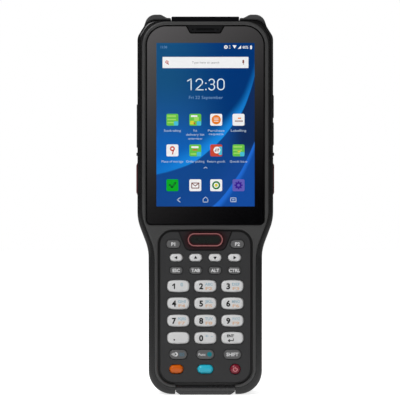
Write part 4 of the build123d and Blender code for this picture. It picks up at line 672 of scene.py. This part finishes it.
stroke(bm, [(LEFT + 0.5, SECOND_ROW - 0.1), (LEFT + 0.1, SECOND_ROW - 1.9)], 0.6)
bar(bm, MID_LEFT - 0.2, SECOND_ROW + 0.3, 2.6, 0.6, 0.2)
bar(bm, MID_LEFT - 0.4, TOP_ROW - 1.9, 0.9, 0.9, 0.2)
laid("drawn_red", bm, MARK_SHEET, screen_red)
bm = bmesh.new()
x, z = MID_LEFT, DOCK_ROW - 0.1
envelope = [(x - 1.9, z + 1.3), (x + 1.9, z + 1.3), (x + 1.9, z - 1.4), (x - 1.9, z - 1.4)]
stroke(bm, envelope + envelope[:1], 0.45)
stroke(bm, [(x - 1.7, z + 1.1), (x, z - 0.3), (x + 1.7, z + 1.1)], 0.4)
bar(bm, RIGHT + 0.2, TOP_ROW - 0.7, 4.2, 0.5, 0.1)
laid("drawn_brown", bm, MARK_SHEET, screen_brown)
bm = bmesh.new()
ring(bm, MID_RIGHT, DOCK_ROW, 1.75, 0.8)
tick = [(LEFT - 1.5, DOCK_ROW + 0.3), (LEFT - 0.2, DOCK_ROW - 1.1), (LEFT + 1.6, DOCK_ROW + 1.3)]
stroke(bm, tick, 0.9)
laid("drawn_moss", bm, MARK_SHEET, screen_moss)
bm = bmesh.new()
x, z = RIGHT, DOCK_ROW
ring(bm, x, z, 1.15, 0.9)
for step in range(8):
    turn = step * math.pi / 4
    bar(bm, x + 1.75 * math.cos(turn), z + 1.75 * math.sin(turn), 0.8, 0.8, turn=turn)
laid("drawn_violet", bm, MARK_SHEET, screen_violet)

# names under the tiles: middle, height, width and words
bm = bmesh.new()
LABEL_HIGH = 139.9
LABEL_LOW = 123.6
LABEL_TALL = 1.15
LABELS = [
    (LEFT, LABEL_HIGH, 8.9, "Stock taking"), (MID_LEFT, LABEL_HIGH, 1.9, "Pick"),
    (MID_LEFT, 137.8, 9.7, "delivery list"), (MID_LEFT, 135.7, 7.3, "overview"),
    (MID_RIGHT, LABEL_HIGH, 8.7, "Purchase"), (MID_RIGHT, 138.1, 7.6, "requests"),
    (RIGHT, LABEL_HIGH, 8.1, "Labelling"), (LEFT, LABEL_LOW, 11.4, "Place of storage"),
    (MID_LEFT, LABEL_LOW, 9.6, "Order picking"), (MID_RIGHT, LABEL_LOW, 9.4, "Return goods"),
    (RIGHT, LABEL_LOW, 9.1, "Goods issue"),
]
for x, z, width, text in LABELS:
    words(bm, text, x, z, LABEL_TALL, width)
stroke(bm, [(-0.75, 120.0), (0.1, 120.6), (0.95, 120.0)], 0.35)
laid("screen_labels", bm, FRONT_SHEET, screen_label)

# three keys along the picture's lower edge: back, home and overview
bm = bmesh.new()
stroke(bm, [(-13.3, 104.5), (-14.8, 103.3), (-13.3, 102.1)], 0.4)
house = [(-1.15, 102.1), (-1.15, 103.7), (0.1, 104.8), (1.35, 103.7), (1.35, 102.1)]
stroke(bm, house + house[:1], 0.36)
x, z = 14.8, NAV_ROW
page = [(x - 1.4, z - 1.0), (x - 1.4, z + 1.0), (x + 1.4, z + 1.0), (x + 1.4, z - 1.0)]
stroke(bm, page + page[:1], 0.4)
bar(bm, x, z, 1.3, 0.45)
laid("screen_keys", bm, FRONT_SHEET, screen_label)

# ---------------------------------------------------------------- keys
# Moulded caps on a silicone mat: white digits and arrows, dark grey functions and three coloured
# keys, in a recessed face plate.
LIGHT_KEYS = ["key_%d" % digit for digit in range(10)] + [
    "key_point", "key_enter", "key_left", "key_up", "key_down", "key_right"
]
DARK_KEYS = [
    "key_p1", "key_p2", "key_esc", "key_tab", "key_alt", "key_ctrl", "key_back", "key_function", "key_shift"
]
dress(moulded("key_white", (0.70, 0.70, 0.70), 0.32, mottling=0.03, relief=0.04, specular=0.5), *LIGHT_KEYS)
dress(moulded("key_grey", (0.115, 0.115, 0.116), 0.32, mottling=0.08), *DARK_KEYS)
CAPS = {"orange": (0.66, 0.115, 0.0), "blue": (0.025, 0.50, 0.66), "red": (0.22, 0.012, 0.028)}
for (cap, colour), key in zip(CAPS.items(), ("key_orange", "key_blue", "key_power")):
    dress(moulded("key_%s_cap" % cap, colour, 0.22, mottling=0.04, relief=0.04, specular=0.4), key)
# the walls of the key holes go black: painted shade round the keys
dress(recess_shaded("face_plate", (0.029, 0.029, 0.030), -12.75, 0.50, relief=0.2), "keypad_panel")
dress(moulded("side_red", (0.10, 0.006, 0.012), 0.36), "side_key_left", "side_key_right")

# ---------------------------------------------------------------- key legends
# Printed legends on the caps: black digits with small blue letters and orange functions beside them,
# white words on the dark keys.
def ink(name, colour):
    """Pad-printed ink, thin and slightly matt, a little uneven where it was pressed on."""
    return moulded(name, colour, 0.5, mottling=0.08, relief=0.03, specular=0.1)


black_ink = ink("black_ink", (0.003, 0.003, 0.003))
white_ink = ink("white_ink", (0.75, 0.75, 0.75))
blue_ink = ink("blue_ink", (0.36, 0.51, 0.59))
orange_ink = ink("orange_ink", (0.72, 0.48, 0.33))
teal_ink = ink("teal_ink", (0.010, 0.22, 0.26))
slate_ink = ink("slate_ink", (0.09, 0.18, 0.24))
pink_ink = ink("pink_ink", (0.72, 0.26, 0.28))
LIGHT_FRONT = -14.0
DARK_FRONT = -13.6
COLOUR_FRONT = -14.2
INK = 0.012
key_middle = {}
for name in nodes:
    if name.startswith("key_"):
        key_low, key_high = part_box(name)
        key_middle[name] = ((key_low[0] + key_high[0]) / 2 / MM, (key_low[2] + key_high[2]) / 2 / MM)

LETTERS = {
    "1": ("@", ""), "2": ("ABC", "F2"), "3": ("DEF", "F3"), "4": ("GHI", "F4"), "5": ("JKL", "F5"),
    "6": ("MNO", "F6"), "7": ("PQRS", "F7"), "8": ("TUV", "F8"), "9": ("WXYZ", "F9"), "0": ("+ -", ""),
}
SMALL_TALL = 1.4
DIGIT_TALL = 2.9
for digit, (letters, function) in LETTERS.items():
    key = "key_" + digit
    x, z = key_middle[key]
    bm = bmesh.new()
    if digit == "1":
        top = DIGIT_TALL / 2 - 0.25
        stroke(bm, [(x - 2.95, z + top - 0.75), (x - 2.0, z + top), (x - 2.0, z - top)], 0.62)
    else:
        words(bm, digit, x - 2.2, z, DIGIT_TALL, weight=0.04)
    laid("legend_" + digit, bm, LIGHT_FRONT - INK, black_ink, key)
    bm = bmesh.new()
    words(bm, letters, x + 1.9, z + 1.1, SMALL_TALL, 1.6 if digit == "1" else 4.2, weight=0.03)
    laid("letters_" + digit, bm, LIGHT_FRONT - INK, blue_ink, key)
    if function:
        bm = bmesh.new()
        words(bm, function, x + 1.9, z - 1.2, SMALL_TALL, 3.6, weight=0.03)
        laid("function_" + digit, bm, LIGHT_FRONT - INK, orange_ink, key)

x, z = key_middle["key_point"]
bm = bmesh.new()
disc(bm, x - 2.1, z - 0.9, 0.42)
laid("legend_point", bm, LIGHT_FRONT - INK, black_ink, "key_point")
x, z = key_middle["key_enter"]
bm = bmesh.new()
words(bm, "ENT", x - 1.0, z + 1.2, 1.35, weight=0.04)
stroke(bm, [(x + 0.5, z - 0.3), (x + 0.5, z - 1.3), (x - 2.1, z - 1.3)], 0.4)
stroke(bm, [(x - 1.4, z - 0.7), (x - 2.2, z - 1.3), (x - 1.4, z - 1.9)], 0.4)
laid("legend_enter", bm, LIGHT_FRONT - INK, black_ink, "key_enter")

for key, turn in (("key_left", 90), ("key_up", 0), ("key_down", 180), ("key_right", -90)):
    x, z = key_middle[key]
    bm = bmesh.new()
    wedge(bm, x, z, 1.05, turn)
    laid("legend_" + key[4:], bm, LIGHT_FRONT - INK, black_ink, key)

for key, text, size in (
    ("key_p1", "P1", 1.8), ("key_p2", "P2", 1.8), ("key_esc", "ESC", 1.65), ("key_tab", "TAB", 1.65),
    ("key_alt", "ALT", 1.65), ("key_ctrl", "CTRL", 1.65), ("key_shift", "SHIFT", 1.75),
):
    x, z = key_middle[key]
    bm = bmesh.new()
    words(bm, text, x, z, size, weight=0.03)
    laid("legend_" + key[4:], bm, DARK_FRONT - INK, white_ink, key)

x, z = key_middle["key_function"]
bm = bmesh.new()
words(bm, "Func", x - 1.7, z, 1.4, weight=0.012)
laid("legend_function", bm, DARK_FRONT - INK, white_ink, "key_function")
bm = bmesh.new()
disc(bm, x + 2.2, z + 0.1, 1.25)
laid("legend_function_dot", bm, DARK_FRONT - INK, teal_ink, "key_function")
x, z = key_middle["key_back"]
bm = bmesh.new()
ring(bm, x - 1.4, z + 0.1, 0.85, 0.75)
stroke(bm, [(x - 1.9, z + 1.0), (x - 3.3, z + 0.1), (x - 1.9, z - 0.8)], 0.6)
laid("legend_back", bm, DARK_FRONT - INK, white_ink, "key_back")
bm = bmesh.new()
words(bm, "BS", x + 2.0, z, 1.7, 2.6, weight=0.02)
laid("legend_back_words", bm, DARK_FRONT - INK, slate_ink, "key_back")
x, z = key_middle["key_power"]
bm = bmesh.new()
ring(bm, x, z, 1.0, 0.42, 125.0, 290.0)
bar(bm, x, z + 0.8, 0.42, 1.2)
laid("legend_power", bm, COLOUR_FRONT - INK, pink_ink, "key_power")


# ---------------------------------------------------------------- scan key and its bezel
# A black cap with a raised clear red light guide along its edge, in a trapezoid insert that is dark grey
# further out.
# The dark red just inside the guide is painted shade, and the red outside it, on the cap and the insert, is
# painted glow of the guide.
SCAN_RUN = 5.8
SCAN_HEIGHT = 82.2


BAND_REACH = 10.0


def banded(name, far_colour, bands, roughness, specular):
    """Plastic whose colour changes with the distance from the key's middle line, in millimetres."""
    material = moulded(name, far_colour, roughness, relief=0.05, specular=specular)
    tree = material.node_tree
    place = tree.nodes.new("ShaderNodeTexCoord")
    middle = tree.nodes.new("ShaderNodeMapping")
    middle.inputs["Location"].default_value = (0, 0, -SCAN_HEIGHT * MM)
    tree.links.new(place.outputs["Object"], middle.inputs["Vector"])
    parts = tree.nodes.new("ShaderNodeSeparateXYZ")
    tree.links.new(middle.outputs["Vector"], parts.inputs[0])
    aside = calc(tree, "SUBTRACT", calc(tree, "ABSOLUTE", parts.outputs["X"]), SCAN_RUN * MM)
    flat = tree.nodes.new("ShaderNodeCombineXYZ")
    tree.links.new(calc(tree, "MAXIMUM", aside, 0.0), flat.inputs["X"])
    tree.links.new(parts.outputs["Z"], flat.inputs["Z"])
    length = tree.nodes.new("ShaderNodeVectorMath")
    length.operation = "LENGTH"
    tree.links.new(flat.outputs[0], length.inputs[0])
    ramp = tree.nodes.new("ShaderNodeValToRGB")
    while len(ramp.color_ramp.elements) < len(bands):
        ramp.color_ramp.elements.new(0.5)
    for element, (distance, colour) in zip(ramp.color_ramp.elements, bands):
        element.position = distance / BAND_REACH
        element.color = (*colour, 1)
    tree.links.new(spread(tree, length.outputs["Value"], 0.0, BAND_REACH * MM), ramp.inputs["Fac"])
    tree.links.new(ramp.outputs["Color"], tree.nodes["Principled BSDF"].inputs["Base Color"])
    return material


# the cap's colours out from its middle line: the dark red inside the guide is painted shade, the red
# outside it painted glow
cap_bands = [
    (0.0, (0.006, 0.009, 0.007)), (1.8, (0.006, 0.007, 0.006)), (2.5, (0.028, 0.002, 0.004)),
    (2.8, (0.040, 0.003, 0.006)), (2.95, (0.36, 0.13, 0.13)), (3.35, (0.36, 0.13, 0.13)),
    (3.5, (0.060, 0.004, 0.008)),
]
# the insert's red next to the key is painted glow of the guide, fading out to its dark grey
bezel_bands = [
    (3.6, (0.034, 0.002, 0.004)), (4.4, (0.018, 0.003, 0.005)), (6.0, (0.016, 0.010, 0.012)),
    (9.0, (0.018, 0.016, 0.017)),
]
dress(banded("scan_cap", (0.01, 0.01, 0.01), cap_bands, 0.28, 0.25), "key_scan")
dress(banded("scan_bezel", (0.02, 0.01, 0.01), bezel_bands, 0.36, 0.25), "scan_key_bezel")


# ---------------------------------------------------------------- back of the terminal
# Behind the camera window a lens in its ring and a lamp, and on the battery door a printed arrow
# that shows which way the latch opens.
WINDOW_BACK = 11.8
lens_ring = moulded("lens_ring", (0.16, 0.16, 0.17), 0.3, specular=0.5)
lens_black = polished("lens_black", (0.003, 0.003, 0.006), 0.04)
lens_blue = polished("lens_blue", (0.012, 0.010, 0.050), 0.04)
lamp_cream = polished("lamp_cream", (0.62, 0.55, 0.30), 0.25)
CAMERA_PLACE = (-5.6, 161.0)
LAMP_PLACE = (6.2, 161.0)
bm = bmesh.new()
ring(bm, -CAMERA_PLACE[0], CAMERA_PLACE[1], 3.1, 0.7)
laid("camera_ring", bm, WINDOW_BACK + INK, lens_ring, behind=True)
bm = bmesh.new()
disc(bm, -CAMERA_PLACE[0], CAMERA_PLACE[1], 2.75)
laid("camera_lens", bm, WINDOW_BACK + INK, lens_black, behind=True)
bm = bmesh.new()
disc(bm, -CAMERA_PLACE[0], CAMERA_PLACE[1], 1.3)
laid("camera_pupil", bm, WINDOW_BACK + 2 * INK, lens_blue, behind=True)
bm = bmesh.new()
disc(bm, -LAMP_PLACE[0], LAMP_PLACE[1], 1.6)
laid("camera_lamp", bm, WINDOW_BACK + INK, lamp_cream, behind=True)
bm = bmesh.new()
wedge(bm, 0, 79.0, 1.5, 180)
bar(bm, 0, 80.6, 0.9, 1.8)
laid("latch_arrow", bm, 14.0 + INK, white_ink, "battery_door", behind=True)

# ---------------------------------------------------------------- small metal and inner pieces
# Nickel-plated screws, pin and socket, gold charging pads, and what is closed up inside.
def metal(name, colour, roughness):
    """Plated metal with fine drawing marks."""
    material, tree, shader, place = new_paint(name)
    shader.inputs["Base Color"].default_value = (*colour, 1)
    shader.inputs["Metallic"].default_value = 1.0
    marks = noise(tree, place, 1800.0)
    gloss = spread(tree, marks, 0.0, 1.0, roughness - 0.08, roughness + 0.08)
    tree.links.new(gloss, shader.inputs["Roughness"])
    return material


dress(metal("nickel", (0.55, 0.55, 0.56), 0.34), "housing_screws", "port_lid_pin", "usb_socket")
dress(metal("gold_plate", (0.83, 0.60, 0.26), 0.26), "dock_contacts")
dress(moulded("solder_mask", (0.012, 0.075, 0.035), 0.35), "main_board", "keypad_board")
dress(moulded("silicone", (0.020, 0.020, 0.021), 0.6), "housing_gasket", "key_mat")
dress(moulded("module_black", (0.015, 0.015, 0.016), 0.5), "scan_engine", "loudspeaker", "camera_module")
dress(moulded("cell_wrap", (0.035, 0.035, 0.04), 0.5), "battery")
dress(polished("lcd_dark", (0.01, 0.02, 0.05)), "lcd_panel")
